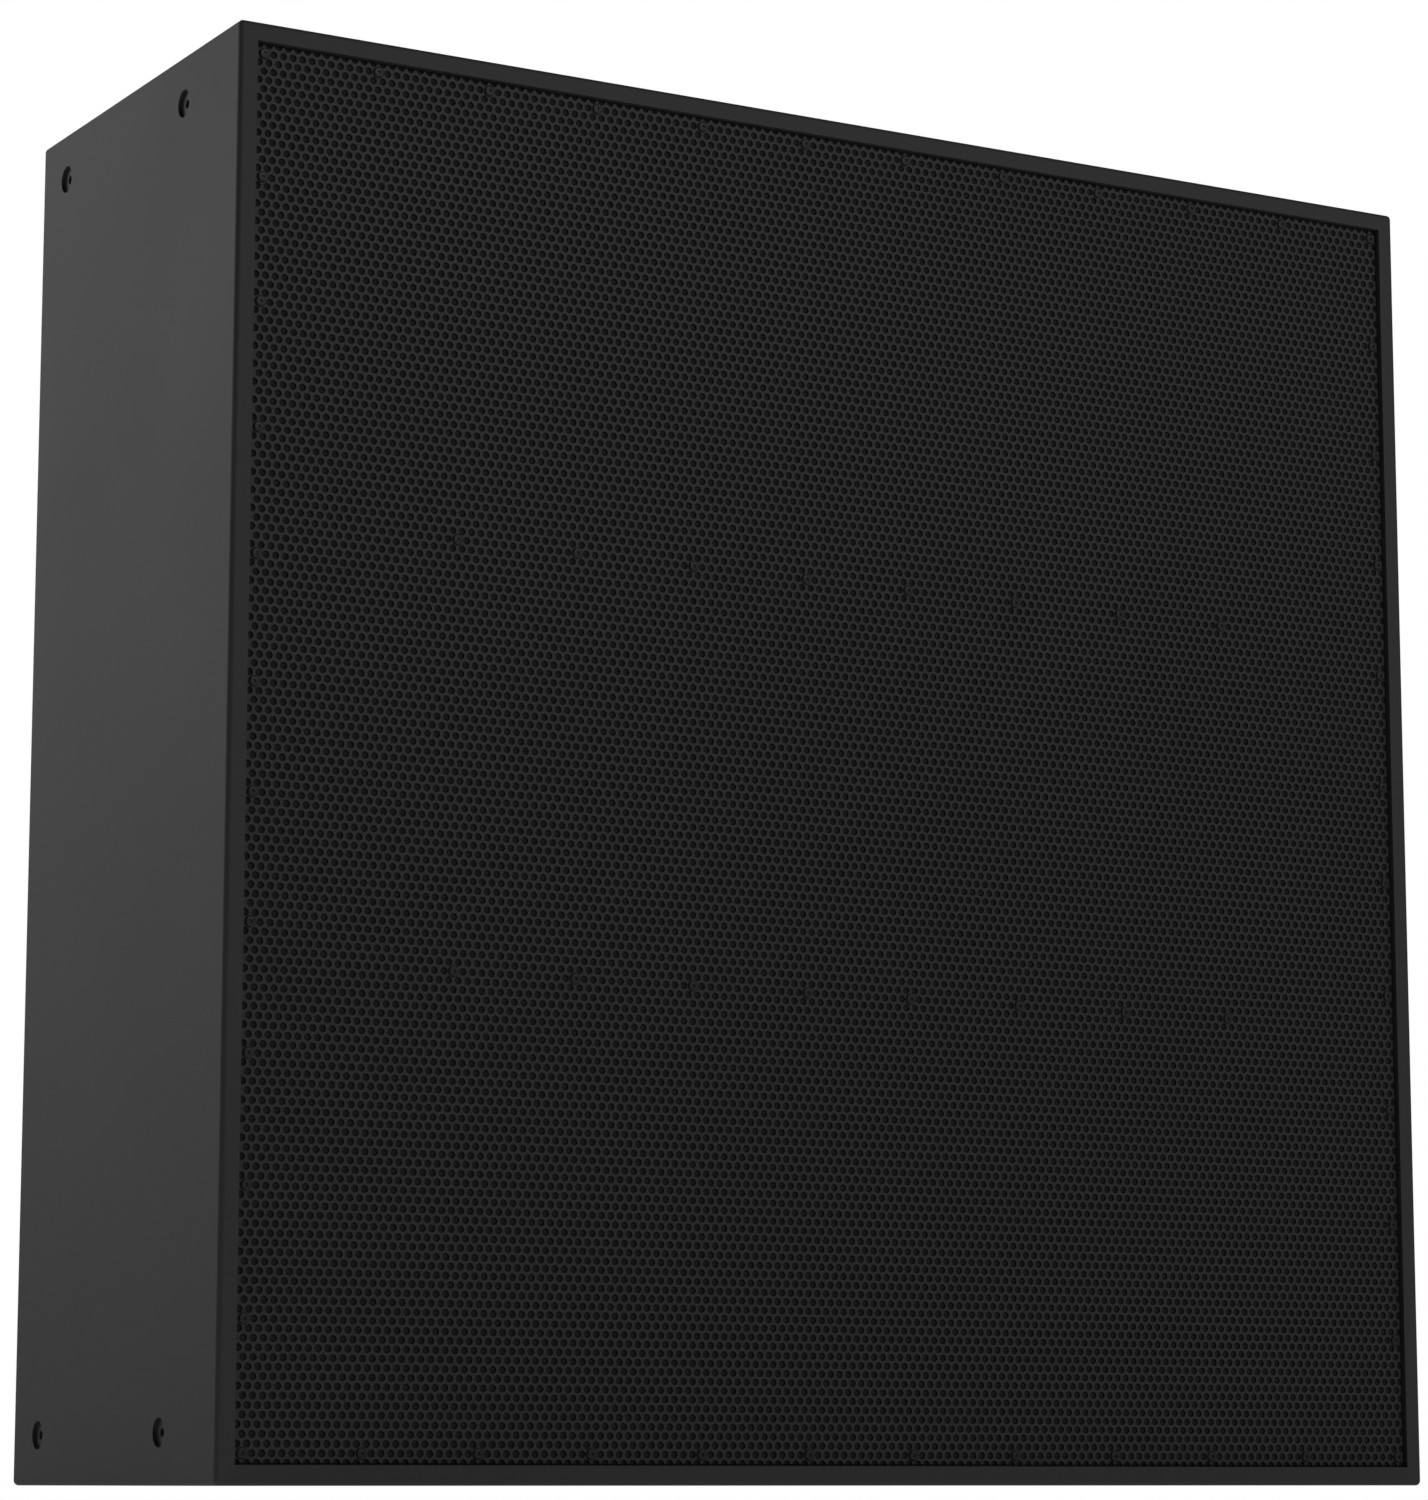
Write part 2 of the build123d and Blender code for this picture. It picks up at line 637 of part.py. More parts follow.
def tee_nut():
    bore = BOLT_DIAMETER / 2 + CLEARANCE
    low = -BAFFLE - NUT_FLANGE_SKIN
    return lathe(
        (bore, low),
        (NUT_FLANGE / 2, low),
        (NUT_FLANGE / 2, -BAFFLE),
        (NUT_BARREL / 2, -BAFFLE),
        (NUT_BARREL / 2, NUT_BARREL_LENGTH - BAFFLE),
        (bore, NUT_BARREL_LENGTH - BAFFLE),
    )


def terminal(up):
    """A terminal block on the frame's cup, on the side nearest the cabinet's middle."""
    across, outwards, along = TERMINAL
    reach = CUP_RADIUS + outwards
    middle = -(SPIDER_DEPTH + FOOT_DEPTH) / 2
    z = (middle - along / 2, middle + along / 2)
    body = block((-across / 2, across / 2), (CUP_BORE, reach), z)
    body -= rod(CUP_RADIUS, z[0], z[1])
    return body if up else Rot(0, 0, 180) * body


# ---------------------------------------------------------------- input, leads, lining


def input_plate():
    """A flange with a dish pressed into it, and a hole for each socket."""
    flange = rounded_bar(PLATE_WIDTH, PLATE_HEIGHT, PLATE_ROUND, PLATE_FRONT, PLATE_OUTSIDE)
    low = DISH_FLOOR - PLATE_SHEET
    dish = rounded_bar(DISH_WIDTH, DISH_HEIGHT, PLATE_ROUND, low, PLATE_FRONT)
    inner_width = DISH_WIDTH - 2 * PLATE_SHEET
    inner_height = DISH_HEIGHT - 2 * PLATE_SHEET
    inner_round = PLATE_ROUND - PLATE_SHEET
    hollow = rounded_bar(inner_width, inner_height, inner_round, DISH_FLOOR, BACK)
    body = flange + dish - hollow
    hole = rod(SOCKET_RADIUS + RECESS_CLEARANCE, -PLATE_SHEET, 0)
    body -= [facing_back(x, DISH_FLOOR, MIDDLE) * hole for x in SOCKETS]
    pin = rod(PLATE_SCREW_SHANK / 2 + CLEARANCE, -PLATE_SHEET, 0)
    return body - [facing_back(x, PLATE_OUTSIDE, z) * pin for x, z in plate_screw_places()]


def socket():
    """A round locking socket with a square flange, its Z out of the back."""
    outline = RectangleRounded(SOCKET_FLANGE, SOCKET_FLANGE, SOCKET_FLANGE_ROUND)
    depth = SOCKET_DEPTH - SOCKET_FLANGE_SKIN
    body = extrude(outline, SOCKET_FLANGE_SKIN) + rod(SOCKET_RADIUS, -depth - SOCKET_FLOOR, 0)
    body -= rod(SOCKET_BORE, -depth, SOCKET_FLANGE_SKIN)
    contact = block(
        (-CONTACT_PROUD, CONTACT_ROOT),
        (-CONTACT_WIDTH / 2, CONTACT_WIDTH / 2),
        (-depth, -CONTACT_INSET),
    )
    return body + [spot * contact for spot in around(SOCKET_BORE, CONTACTS, 180 / CONTACTS)]


def plate_screw():
    head = rod(PLATE_SCREW_HEAD / 2, 0, PLATE_SCREW_HEAD_HEIGHT)
    head = fillet(head.edges().group_by(Axis.Z)[-1], HEAD_ROUND * PLATE_SCREW_HEAD_HEIGHT)
    return head + rod(PLATE_SCREW_SHANK / 2, -PLATE_SCREW_LENGTH, 0)


def lead(number):
    """A clipped cable from the back of a socket to one woofer's terminal."""
    x, z = DRIVERS[number]
    up = 1 if z > MIDDLE else -1
    socket_x = SOCKETS[0] if x < 0 else SOCKETS[1]
    start_z = MIDDLE + up * LEAD
    turn_y = SOCKET_END - LEAD_REACH
    terminal_y = BAFFLE_FRONT + (SPIDER_DEPTH + FOOT_DEPTH) / 2
    terminal_z = z - up * (CUP_RADIUS + TERMINAL[1])
    points = [
        (socket_x, SOCKET_END, start_z),
        (socket_x, turn_y, start_z),
        (x, turn_y, start_z),
        (x, terminal_y, MIDDLE + up * LEAD_RISE),
        (x, terminal_y, terminal_z),
    ]
    bends = [LEAD_BEND, LEAD_BEND, LEAD_SWEEP]
    path = FilletPolyline(*points, radius=bends)
    section = Plane(origin=path @ 0, z_dir=path % 0) * Circle(LEAD / 2)
    cable = sweep(section, path)
    print(f"lead {number}: {path.length:.0f} mm, bends {bends}")
    return cable


def lining():
    """Wadding on the inside of the back, one pad between each pair of braces."""
    lower, upper = RAIL_HEIGHTS
    edge = PANEL / 2 + LINING_MARGIN
    spans = [
        (PANEL + LINING_MARGIN, lower - edge),
        (lower + edge, upper - edge),
        (upper + edge, INSIDE_TOP - LINING_MARGIN),
    ]
    y = (INSIDE_BACK - LINING, INSIDE_BACK)
    room = 2 * LINING_MARGIN
    round_input = rounded_bar(
        DISH_WIDTH + room, DISH_HEIGHT + room, PLATE_ROUND, y[0] - PAST, y[1] + PAST
    )
    pads = []
    for x in ((-INSIDE_X + LINING_MARGIN, -edge), (edge, INSIDE_X - LINING_MARGIN)):
        pads += [block(x, y, z) - round_input for z in spans]
    return Compound(pads)


# ---------------------------------------------------------------- write the parts

os.makedirs("parts", exist_ok=True)

save("left_panel", side_panel(-1))
save("right_panel", side_panel(1))
save("top_panel", level_panel(INSIDE_TOP, HEIGHT))
save("bottom_panel", level_panel(0, PANEL))
save("back_panel", back_panel())
save("front_baffle", front_baffle())
save("lower_brace", level_brace(RAIL_HEIGHTS[0]))
save("upper_brace", level_brace(RAIL_HEIGHTS[1]))
save("upright_braces", upright_braces())
save("grille_battens", battens())
save("grille_sheet", grille_layer(SHEET_FRONT, GRILLE_SHEET))
save("grille_cloth", grille_layer(CLOTH_FRONT, CLOTH))
save("port_tubes", Compound([place * port_tube() for place in port_places()]))
save("input_plate", input_plate())
save("damping_lining", lining())

one_screw = grille_screw()
save("grille_screws", Compound([facing_front(x, SHEET_FRONT, z) * one_screw for x, z in SCREWS]))

one_insert = rigging_insert()
save(
    "rigging_inserts",
    Compound([place * one_insert for side in (-1, 1) for place in insert_places(side)]),
)

one_socket = socket()
save("input_sockets", Compound([facing_back(x, DISH_FLOOR, MIDDLE) * one_socket for x in SOCKETS]))

one_plate_screw = plate_screw()
save(
    "input_plate_screws",
    Compound([facing_back(x, PLATE_OUTSIDE, z) * one_plate_screw for x, z in plate_screw_places()]),
)

WOOFER = {
    "basket": basket(),
    "surround": surround(),
    "cone": cone(),
    "dust_cap": dust_cap(),
    "spider": spider(),
    "voice_coil": voice_coil(),
    "top_plate": top_plate(),
    "magnet": magnet(),
    "yoke": yoke(),
}
PLACES = {number: facing_front(x, BAFFLE_FRONT, z) for number, (x, z) in DRIVERS.items()}
for number, place in PLACES.items():
    for name, piece in WOOFER.items():
        save(f"{name}_{number}", place * piece)

one_gasket = gasket()
one_bolt = driver_bolt()
one_nut = tee_nut()
every_bolt = [place * spot for place in PLACES.values() for spot in bolt_spots()]
save("driver_gaskets", Compound([place * one_gasket for place in PLACES.values()]))
save("driver_bolts", Compound([place * one_bolt for place in every_bolt]))
save("tee_nuts", Compound([place * one_nut for place in every_bolt]))
save(
    "driver_terminals",
    Compound([place * terminal(DRIVERS[number][1] < MIDDLE) for number, place in PLACES.items()]),
)
save("driver_leads", Compound([lead(number) for number in DRIVERS]))

print("screws", len(SCREWS), "rail rows", RAIL_ROWS, "rails at", [round(z, 1) for z in RAIL_HEIGHTS])
print("woofers at", {number: (x, round(z, 1)) for number, (x, z) in DRIVERS.items()})
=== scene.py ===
# %% [markdown]
# # A subwoofer, dressed
# The object is a square, flat loudspeaker cabinet that stands on the floor. Its CAD model
# arrives as a fixed frame: every wall, bolt and woofer part is in place and stays there.
# This notebook gives it what CAD leaves out: a really perforated grille, cloth behind it,
# rubber and cloth parts drawn in full at the cones, and a finish on every piece.

# %% Load the frame
import math

import bmesh
import bpy
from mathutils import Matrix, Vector


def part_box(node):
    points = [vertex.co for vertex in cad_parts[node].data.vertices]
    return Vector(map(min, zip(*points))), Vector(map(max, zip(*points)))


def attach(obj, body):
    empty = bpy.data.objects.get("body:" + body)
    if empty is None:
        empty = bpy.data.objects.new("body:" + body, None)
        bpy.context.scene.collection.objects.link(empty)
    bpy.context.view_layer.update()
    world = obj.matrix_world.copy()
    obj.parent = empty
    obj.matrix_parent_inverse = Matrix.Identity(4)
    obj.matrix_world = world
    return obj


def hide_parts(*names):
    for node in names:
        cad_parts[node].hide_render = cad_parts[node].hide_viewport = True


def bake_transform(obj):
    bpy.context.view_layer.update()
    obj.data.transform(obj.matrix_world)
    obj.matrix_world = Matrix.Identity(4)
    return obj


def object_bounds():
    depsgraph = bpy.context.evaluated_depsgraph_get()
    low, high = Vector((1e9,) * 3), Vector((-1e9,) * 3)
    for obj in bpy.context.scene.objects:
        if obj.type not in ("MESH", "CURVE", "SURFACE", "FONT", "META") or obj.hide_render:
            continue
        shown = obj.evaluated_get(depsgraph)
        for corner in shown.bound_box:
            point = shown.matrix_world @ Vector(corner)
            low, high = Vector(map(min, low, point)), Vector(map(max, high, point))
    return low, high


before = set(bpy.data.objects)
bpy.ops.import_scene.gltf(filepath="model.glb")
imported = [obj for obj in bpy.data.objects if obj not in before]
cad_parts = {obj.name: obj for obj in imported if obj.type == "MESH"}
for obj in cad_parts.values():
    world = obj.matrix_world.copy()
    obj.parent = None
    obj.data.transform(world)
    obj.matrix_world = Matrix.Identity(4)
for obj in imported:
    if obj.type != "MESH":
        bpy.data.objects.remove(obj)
cad_low, cad_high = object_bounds()
bpy.ops.object.select_all(action="DESELECT")
print("CAD box", [round(x, 4) for x in (*cad_low, *cad_high)])

# %% [markdown]
# ## Camera
# A long lens from nearly floor level, off the cabinet's left front corner, looking slightly
# up. The place is given from the bottom corner nearest the lens, in cabinet heights, so that
# the framing holds if the cabinet's size changes.

# %% Camera
LENS = 109.55
FROM_CORNER = (-1.2244, -2.7909, 0.0036)
LOOK_UP, ROLL_ANGLE, TURN = 9.092, -0.013, -29.847
HEIGHT = cad_high.z - cad_low.z
MIDDLE = cad_low.z + HEIGHT / 2
corner = Vector((cad_low.x, cad_low.y, cad_low.z))

camera_data = bpy.data.cameras.new("camera")
camera = bpy.data.objects.new("camera", camera_data)
bpy.context.scene.collection.objects.link(camera)
bpy.context.scene.camera = camera
camera_data.sensor_width = 36
camera_data.lens = LENS
camera_data.clip_end = 60
camera.location = corner + Vector(FROM_CORNER) * HEIGHT
camera.rotation_euler = [math.radians(angle) for angle in (90 + LOOK_UP, ROLL_ANGLE, TURN)]
print("camera at", [round(x, 3) for x in camera.location])

# %% [markdown]
# ## Floor, backdrop and lights
# The floor is a plain pale sheet that glows a little, as a lit studio floor does, and fills
# the shadows from below. Seen directly it is burnt out to white, as the backdrop is, but for
# a soft shadow where the cabinet stands: an Ambient Occlusion node darkens it there. The
# backdrop is the world itself: the lens sees it white, while the light that it casts is weak,
# as in a dark studio with a white screen far behind. A Light Path node tells the two apart.
# Dark paint shows its shape by sheen, so the strongest boxes stand behind the left side,
# where the lens sees their reflection slide down the wall. The front is lit softly, and one
# more box lights the back and the right side for whoever walks round.

# %% Floor
FLOOR_GLOW = 0.21
SHADOW_REACH = 0.05
bpy.ops.mesh.primitive_circle_add(vertices=96, radius=14, fill_type="NGON")
floor = bpy.context.object
floor.name = "floor"
floor_finish = bpy.data.materials.new("floor")
floor_finish.use_nodes = True
floor_shader = floor_finish.node_tree.nodes["Principled BSDF"]
floor_shader.inputs["Base Color"].default_value = (0.86, 0.86, 0.86, 1)
floor_shader.inputs["Roughness"].default_value = 0.9
floor_shader.inputs["Specular IOR Level"].default_value = 0.1
floor_shader.inputs["Emission Color"].default_value = (1, 1, 1, 1)
floor_shader.inputs["Emission Strength"].default_value = FLOOR_GLOW
floor.data.materials.append(floor_finish)


def seen_or_lit(tree, lit, seen, surface):
    """One shader for the light that a thing casts and another for the lens."""
    path = tree.nodes.new("ShaderNodeLightPath")
    either = tree.nodes.new("ShaderNodeMixShader")
    tree.links.new(path.outputs["Is Camera Ray"], either.inputs["Fac"])
    tree.links.new(lit.outputs[0], either.inputs[1])
    tree.links.new(seen.outputs[0], either.inputs[2])
    tree.links.new(either.outputs["Shader"], surface)


floor_tree = floor_finish.node_tree
shadow = floor_tree.nodes.new("ShaderNodeAmbientOcclusion")
shadow.inputs["Distance"].default_value = SHADOW_REACH
burnt_out = floor_tree.nodes.new("ShaderNodeEmission")
floor_tree.links.new(shadow.outputs["Color"], burnt_out.inputs["Color"])
floor_surface = floor_tree.nodes["Material Output"].inputs["Surface"]
seen_or_lit(floor_tree, floor_shader, burnt_out, floor_surface)
print("floor", [round(v, 2) for v in floor.dimensions])

# %% World
SCREEN_WHITE = 1.0
ROOM_GREY = 0.03
bpy.context.scene.view_settings.view_transform = "Standard"
world = bpy.context.scene.world or bpy.data.worlds.new("world")
bpy.context.scene.world = world
world.use_nodes = True
world_tree = world.node_tree
world_tree.nodes.clear()


def plain_white(strength):
    white = world_tree.nodes.new("ShaderNodeBackground")
    white.inputs["Strength"].default_value = strength
    white.inputs["Color"].default_value = (1, 1, 1, 1)
    return white


out = world_tree.nodes.new("ShaderNodeOutputWorld")
room, screen = plain_white(ROOM_GREY), plain_white(SCREEN_WHITE)
seen_or_lit(world_tree, room, screen, out.inputs["Surface"])
print("world", SCREEN_WHITE, "to the lens,", ROOM_GREY, "as light")


# %% Lights
def soft_box(name, place, target, size, power):
    """A square area light that faces a point."""
    data = bpy.data.lights.new(name, "AREA")
    data.shape = "SQUARE"
    data.size = size
    data.energy = power
    lamp = bpy.data.objects.new(name, data)
    bpy.context.scene.collection.objects.link(lamp)
    lamp.location = place
    aim = Vector(target) - Vector(place)
    lamp.rotation_euler = aim.to_track_quat("-Z", "Y").to_euler()
    return lamp


middle = (0, 0, MIDDLE)
upper_side = (cad_low.x, 0, 0.73 * HEIGHT)
soft_box("sheen_box", (-2.2, 4.5, 1.8), upper_side, 2.4, 21)
soft_box("left_box", (-3.0, 2.4, 3.0), upper_side, 2.0, 27)
soft_box("front_box", (1.2, -5.0, 3.2), middle, 2.4, 38)
soft_box("right_box", (4.0, -3.6, 2.4), middle, 2.4, 14)
soft_box("top_box", (0, 0.5, 5.0), middle, 3.0, 6)
soft_box("back_box", (2.6, 4.0, 2.4), middle, 2.4, 30)

# %% [markdown]
# ## Writing shader maths
# Every finish needs small sums on shader values, such as one noise laid over another. The
# class below wraps a socket so that `0.4 + 0.1 * grain` writes its own Math nodes. `Finish`
# holds a material with its Principled shader, and its one method makes any other node.


# %% Shader helpers
class Value:
    """A shader socket that can be used in Python sums."""

    def __init__(self, tree, socket):
        self.tree = tree
        self.socket = socket

    def sum(self, operation, other, swapped=False):
        node = self.tree.nodes.new("ShaderNodeMath")
        node.operation = operation
        pair = (other, self) if swapped else (self, other)
        for slot, item in zip(node.inputs, pair):
            plug(self.tree, item, slot)
        return Value(self.tree, node.outputs[0])

    def __add__(self, other):
        return self.sum("ADD", other)

    def __sub__(self, other):
        return self.sum("SUBTRACT", other)

    def __rsub__(self, other):
        return self.sum("SUBTRACT", other, swapped=True)

    def __mul__(self, other):
        return self.sum("MULTIPLY", other)

    def __pow__(self, other):
        return self.sum("POWER", other)

    def __gt__(self, other):
        return self.sum("GREATER_THAN", other)

    def __lt__(self, other):
        return self.sum("LESS_THAN", other)

    __radd__ = __add__
    __rmul__ = __mul__


def plug(tree, item, slot):
    """Links a value to a socket, or sets the socket to a number or colour."""
    if isinstance(item, Value):
        tree.links.new(item.socket, slot)
    else:
        slot.default_value = item


class Finish:
    """A material: its Principled shader, and a way to add any node."""

    def __init__(self, name, **constants):
        self.material = bpy.data.materials.new(name)
        self.material.use_nodes = True
        self.tree = self.material.node_tree
        self.shader = self.tree.nodes["Principled BSDF"]
        for socket, value in constants.items():
            self.shader.inputs[socket.replace("_", " ")].default_value = value

    def node(self, kind, settings=None, output=0, **inputs):
        """Makes a node, sets what it is, feeds its sockets and gives one output."""
        node = self.tree.nodes.new("ShaderNode" + kind)
        for name, value in (settings or {}).items():
            setattr(node, name, value)
        for name, item in inputs.items():
            plug(self.tree, item, node.inputs[name.replace("_", " ")])
        return Value(self.tree, node.outputs[output])

    def place(self):
        """The point on the piece, in metres."""
        return self.node("TexCoord", output="Object")

    def axes(self):
        """The point's X, Y and Z as three values."""
        split = self.node("SeparateXYZ", Vector=self.place())
        return [Value(self.tree, socket) for socket in split.socket.node.outputs]

    def from_axis(self, x, z):
        """The distance from a line along Y."""
        across, _, up = self.axes()
        return ((across - x) ** 2 + (up - z) ** 2) ** 0.5

    def noise(self, scale, detail=2.0, vector=None):
        """Soft noise from 0 to 1, with features about 1/scale metres across."""
        vector = vector or self.place()
        return self.node("TexNoise", output="Fac", Vector=vector, Scale=scale, Detail=detail)

    def stripes(self, direction, period):
        """A wave along one axis, from 0 to 1, that repeats after a length in metres."""
        settings = {"bands_direction": direction}
        scale = math.pi / (10 * period)
        return self.node("TexWave", settings, "Fac", Vector=self.place(), Scale=scale)

    def between(self, mask, low, high):
        """Two colours mixed by a mask."""
        node = self.tree.nodes.new("ShaderNodeMix")
        node.data_type = "RGBA"
        plug(self.tree, mask, node.inputs["Factor"])
        for slot, colour in (("A", low), ("B", high)):
            socket = next(s for s in node.inputs if s.name == slot and s.type == "RGBA")
            plug(self.tree, colour, socket)
        return Value(self.tree, next(s for s in node.outputs if s.type == "RGBA"))

    def set(self, socket, item):
        plug(self.tree, item, self.shader.inputs[socket])

    def bump(self, height, distance, strength=1.0):
        """Feeds a height to the shader's normal."""
        normal = self.node("Bump", Height=height, Distance=distance, Strength=strength)
        self.set("Normal", normal)


def grey(level, alpha=1.0):
    return (level, level, level, alpha)


def wear(finish, *names):
    """Gives CAD nodes or pieces a finish."""
    for name in names:
        piece = bpy.data.objects[name]
        piece.data.materials.clear()
        piece.data.materials.append(finish.material)


# %% [markdown]
# ## Wood
# The cabinet is plywood. The braces are bare birch, and the baffle and the battens are
# stained black so that nothing pale shows through the grille. Birch has a fine, long grain,
# and its cut edges show the plies as thin dark and light lines. A noise stretched along the
# boards gives the grain, and a wave across the board's thickness gives the plies: on a face
# the wave doesn't vary, so the lines appear at the cut edges alone.

# %% Wood
PLY_PAIR = 0.0033
BIRCH = (0.62, 0.46, 0.29, 1)
BIRCH_DARK = (0.40, 0.27, 0.15, 1)
GRAIN_SCALES = {"X": (1, 1, 12), "Y": (12, 1, 1), "Z": (1, 12, 1)}


def grained(wood, light, dark, thickness_axis):
    """The colour and the fibres of plywood whose thickness is along an axis."""
    scale = GRAIN_SCALES[thickness_axis]
    stretched = wood.node("Mapping", Vector=wood.place(), Scale=scale)
    fibres = wood.noise(60, 3.0, stretched)
    plies = wood.stripes(thickness_axis, PLY_PAIR)
    tone = 0.45 * wood.noise(7, 6.0, stretched) + 0.3 * fibres + 0.25 * plies
    return wood.between(tone, dark, light), fibres


def plywood(name, light, dark, thickness_axis):
    wood = Finish(name, Specular_IOR_Level=0.3)
    colour, fibres = grained(wood, light, dark, thickness_axis)
    wood.set("Base Color", colour)
    wood.set("Roughness", 0.55 + 0.2 * fibres)
    wood.bump(fibres, 0.0002, 0.4)
    return wood


wear(plywood("birch_level", BIRCH, BIRCH_DARK, "Z"), "lower_brace", "upper_brace")
wear(plywood("birch_upright", BIRCH, BIRCH_DARK, "X"), "upright_braces")
wear(plywood("black_stain", grey(0.016), grey(0.006), "Y"), "front_baffle", "grille_battens")
print("wood on the braces, the baffle and the battens")

# %% [markdown]
# ## Cabinet paint
# The outside is sprayed with a tough textured paint. Close up it has a fine pebbled skin,
# about a millimetre from bump to bump, and from further off only a faint unevenness in its
# sheen is left. Two noises do this: a fine one for the bump and the sheen, and a broad one
# for the slight clouding that a spray gun leaves. Each wall is one board with a painted and
# a bare side, so the finish tells the two apart by place: a point is bare when it lies in
# the box that the walls enclose behind the baffle. A comparison gives 0 or 1, and the
# product of the comparisons is the mask.


# %% Cabinet paint
SKIN_DEPTH = 0.0001
inner_low = Vector(
    (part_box("left_panel")[1].x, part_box("front_baffle")[0].y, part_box("bottom_panel")[1].z)
)
inner_high = Vector(
    (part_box("right_panel")[0].x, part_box("back_panel")[0].y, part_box("top_panel")[0].z)
)


def inside_mask(finish):
    """1 on the walls' bare inner faces, and 0 elsewhere."""
    mask = 1.0
    for value, low, high in zip(finish.axes(), inner_low, inner_high):
        mask = (value > low - SKIN_DEPTH) * (value < high + SKIN_DEPTH) * mask
    return mask


def cabinet_paint(name, thickness_axis):
    paint = Finish(name, Specular_IOR_Level=0.45)
    pebbles = paint.noise(900, 1.0)
    clouds = paint.noise(6, 4.0)
    tone = 0.55 * pebbles + 0.45 * clouds
    painted = paint.between(tone, grey(0.034), grey(0.052))
    bare, fibres = grained(paint, BIRCH, BIRCH_DARK, thickness_axis)
    mask = inside_mask(paint)
    paint.set("Base Color", paint.between(mask, painted, bare))
    paint.set("Roughness", 0.46 + 0.14 * pebbles + 0.08 * clouds + 0.2 * mask)
    paint.bump(pebbles * (1 - mask) + 0.3 * fibres * mask, 0.00025, 0.7)
    return paint


wear(cabinet_paint("side_paint", "X"), "left_panel", "right_panel")
wear(cabinet_paint("level_paint", "Z"), "top_panel", "bottom_panel")
wear(cabinet_paint("back_paint", "Y"), "back_panel")
print("bare inside from", [round(v, 4) for v in inner_low])
print("bare inside to", [round(v, 4) for v in inner_high])

# %% [markdown]
# ## Perforated grille
# The grille is steel sheet with staggered round holes, and it is close enough to the lens
# for the holes to be counted, so they are real geometry. One hexagon with a twelve-sided
# hole tiles the sheet. Two of them, side by side in neighbouring rows, are repeated with
# Array modifiers into a strip, the strip is trimmed to the sheet's width with a bisect, and
# Solidify gives it the steel's thickness. Copies of the strip stack up to the whole sheet.

# %% Grille measures
sheet_low, sheet_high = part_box("grille_sheet")
PITCH = 0.008
ROW = PITCH * math.sqrt(3) / 2
HOLE_RADIUS = 0.003
HOLE_SIDES = 12
STRIP_ROWS = 20
SHEET = sheet_high.y - sheet_low.y
columns = 2 * math.ceil(sheet_high.x / PITCH) + 1
half_rows = int((sheet_high.z - MIDDLE) / ROW)
half_rows += 1 - half_rows % 2
print("columns", columns, "rows", 2 * half_rows + 1)


# %% Mesh helpers
def only(piece):
    """Makes a piece the only selected and active one."""
    bpy.ops.object.select_all(action="DESELECT")
    piece.select_set(True)
    bpy.context.view_layer.objects.active = piece


def apply_modifiers(piece):
    only(piece)
    for modifier in list(piece.modifiers):
        bpy.ops.object.modifier_apply(modifier=modifier.name)


def settle(piece):
    """Puts a piece's place into its mesh."""
    only(piece)
    bpy.ops.object.transform_apply(location=True, rotation=True, scale=True)


def copy_of(piece, name, offset=(0, 0, 0)):
    """A copy with its own mesh, moved by an offset."""
    twin = piece.copy()
    twin.data = piece.data.copy()
    twin.name = name
    twin.parent = None
    twin.hide_render = twin.hide_viewport = False
    for key in list(twin.keys()):
        del twin[key]
    bpy.context.scene.collection.objects.link(twin)
    twin.location = offset
    settle(twin)
    return twin


def drop(piece):
    bpy.data.objects.remove(piece, do_unlink=True)


def trim(piece, point, normal):
    """Cuts off what lies beyond a plane."""
    only(piece)
    bpy.ops.object.mode_set(mode="EDIT")
    bpy.ops.mesh.select_all(action="SELECT")
    bpy.ops.mesh.bisect(plane_co=point, plane_no=normal, clear_outer=True, threshold=1e-7)
    bpy.ops.object.mode_set(mode="OBJECT")


# %% One strip of the grille
def hexagon_with_hole(x, z):
    """A hexagon in the plane of the grille, with its hole."""
    upright = (math.pi / 2, 0, 0)
    place = (x, sheet_low.y, z)
    bpy.ops.mesh.primitive_circle_add(
        vertices=6, radius=PITCH / math.sqrt(3), location=place, rotation=upright
    )
    cell = bpy.context.object
    bpy.ops.object.mode_set(mode="EDIT")
    bpy.ops.mesh.primitive_circle_add(
        vertices=HOLE_SIDES, radius=HOLE_RADIUS, location=place, rotation=upright
    )
    bpy.ops.mesh.select_all(action="SELECT")
    bpy.ops.mesh.bridge_edge_loops()
    bpy.ops.object.mode_set(mode="OBJECT")
    settle(cell)
    return cell


def strip_of_grille():
    """A strip of flat cells, from its lowest row up."""
    first_x = -(columns // 2) * PITCH
    first_z = MIDDLE - half_rows * ROW
    lower = hexagon_with_hole(first_x + PITCH / 2, first_z)
    upper = hexagon_with_hole(first_x, first_z + ROW)
    bpy.ops.object.select_all(action="DESELECT")
    lower.select_set(True)
    upper.select_set(True)
    bpy.context.view_layer.objects.active = lower
    bpy.ops.object.join()
    for count, step in ((columns, (PITCH, 0, 0)), (STRIP_ROWS // 2, (0, 0, 2 * ROW))):
        repeat = lower.modifiers.new("repeat", "ARRAY")
        repeat.use_relative_offset = False
        repeat.use_constant_offset = True
        repeat.constant_offset_displace = step
        repeat.count = count
    apply_modifiers(lower)
    bpy.ops.object.mode_set(mode="EDIT")
    bpy.ops.mesh.select_all(action="SELECT")
    bpy.ops.mesh.remove_doubles(threshold=PITCH / 100)
    bpy.ops.object.mode_set(mode="OBJECT")
    for side in (sheet_low, sheet_high):
        trim(lower, (side.x, 0, 0), (math.copysign(1, side.x), 0, 0))
    return lower


strip = strip_of_grille()
print("one strip", len(strip.data.polygons), "faces")

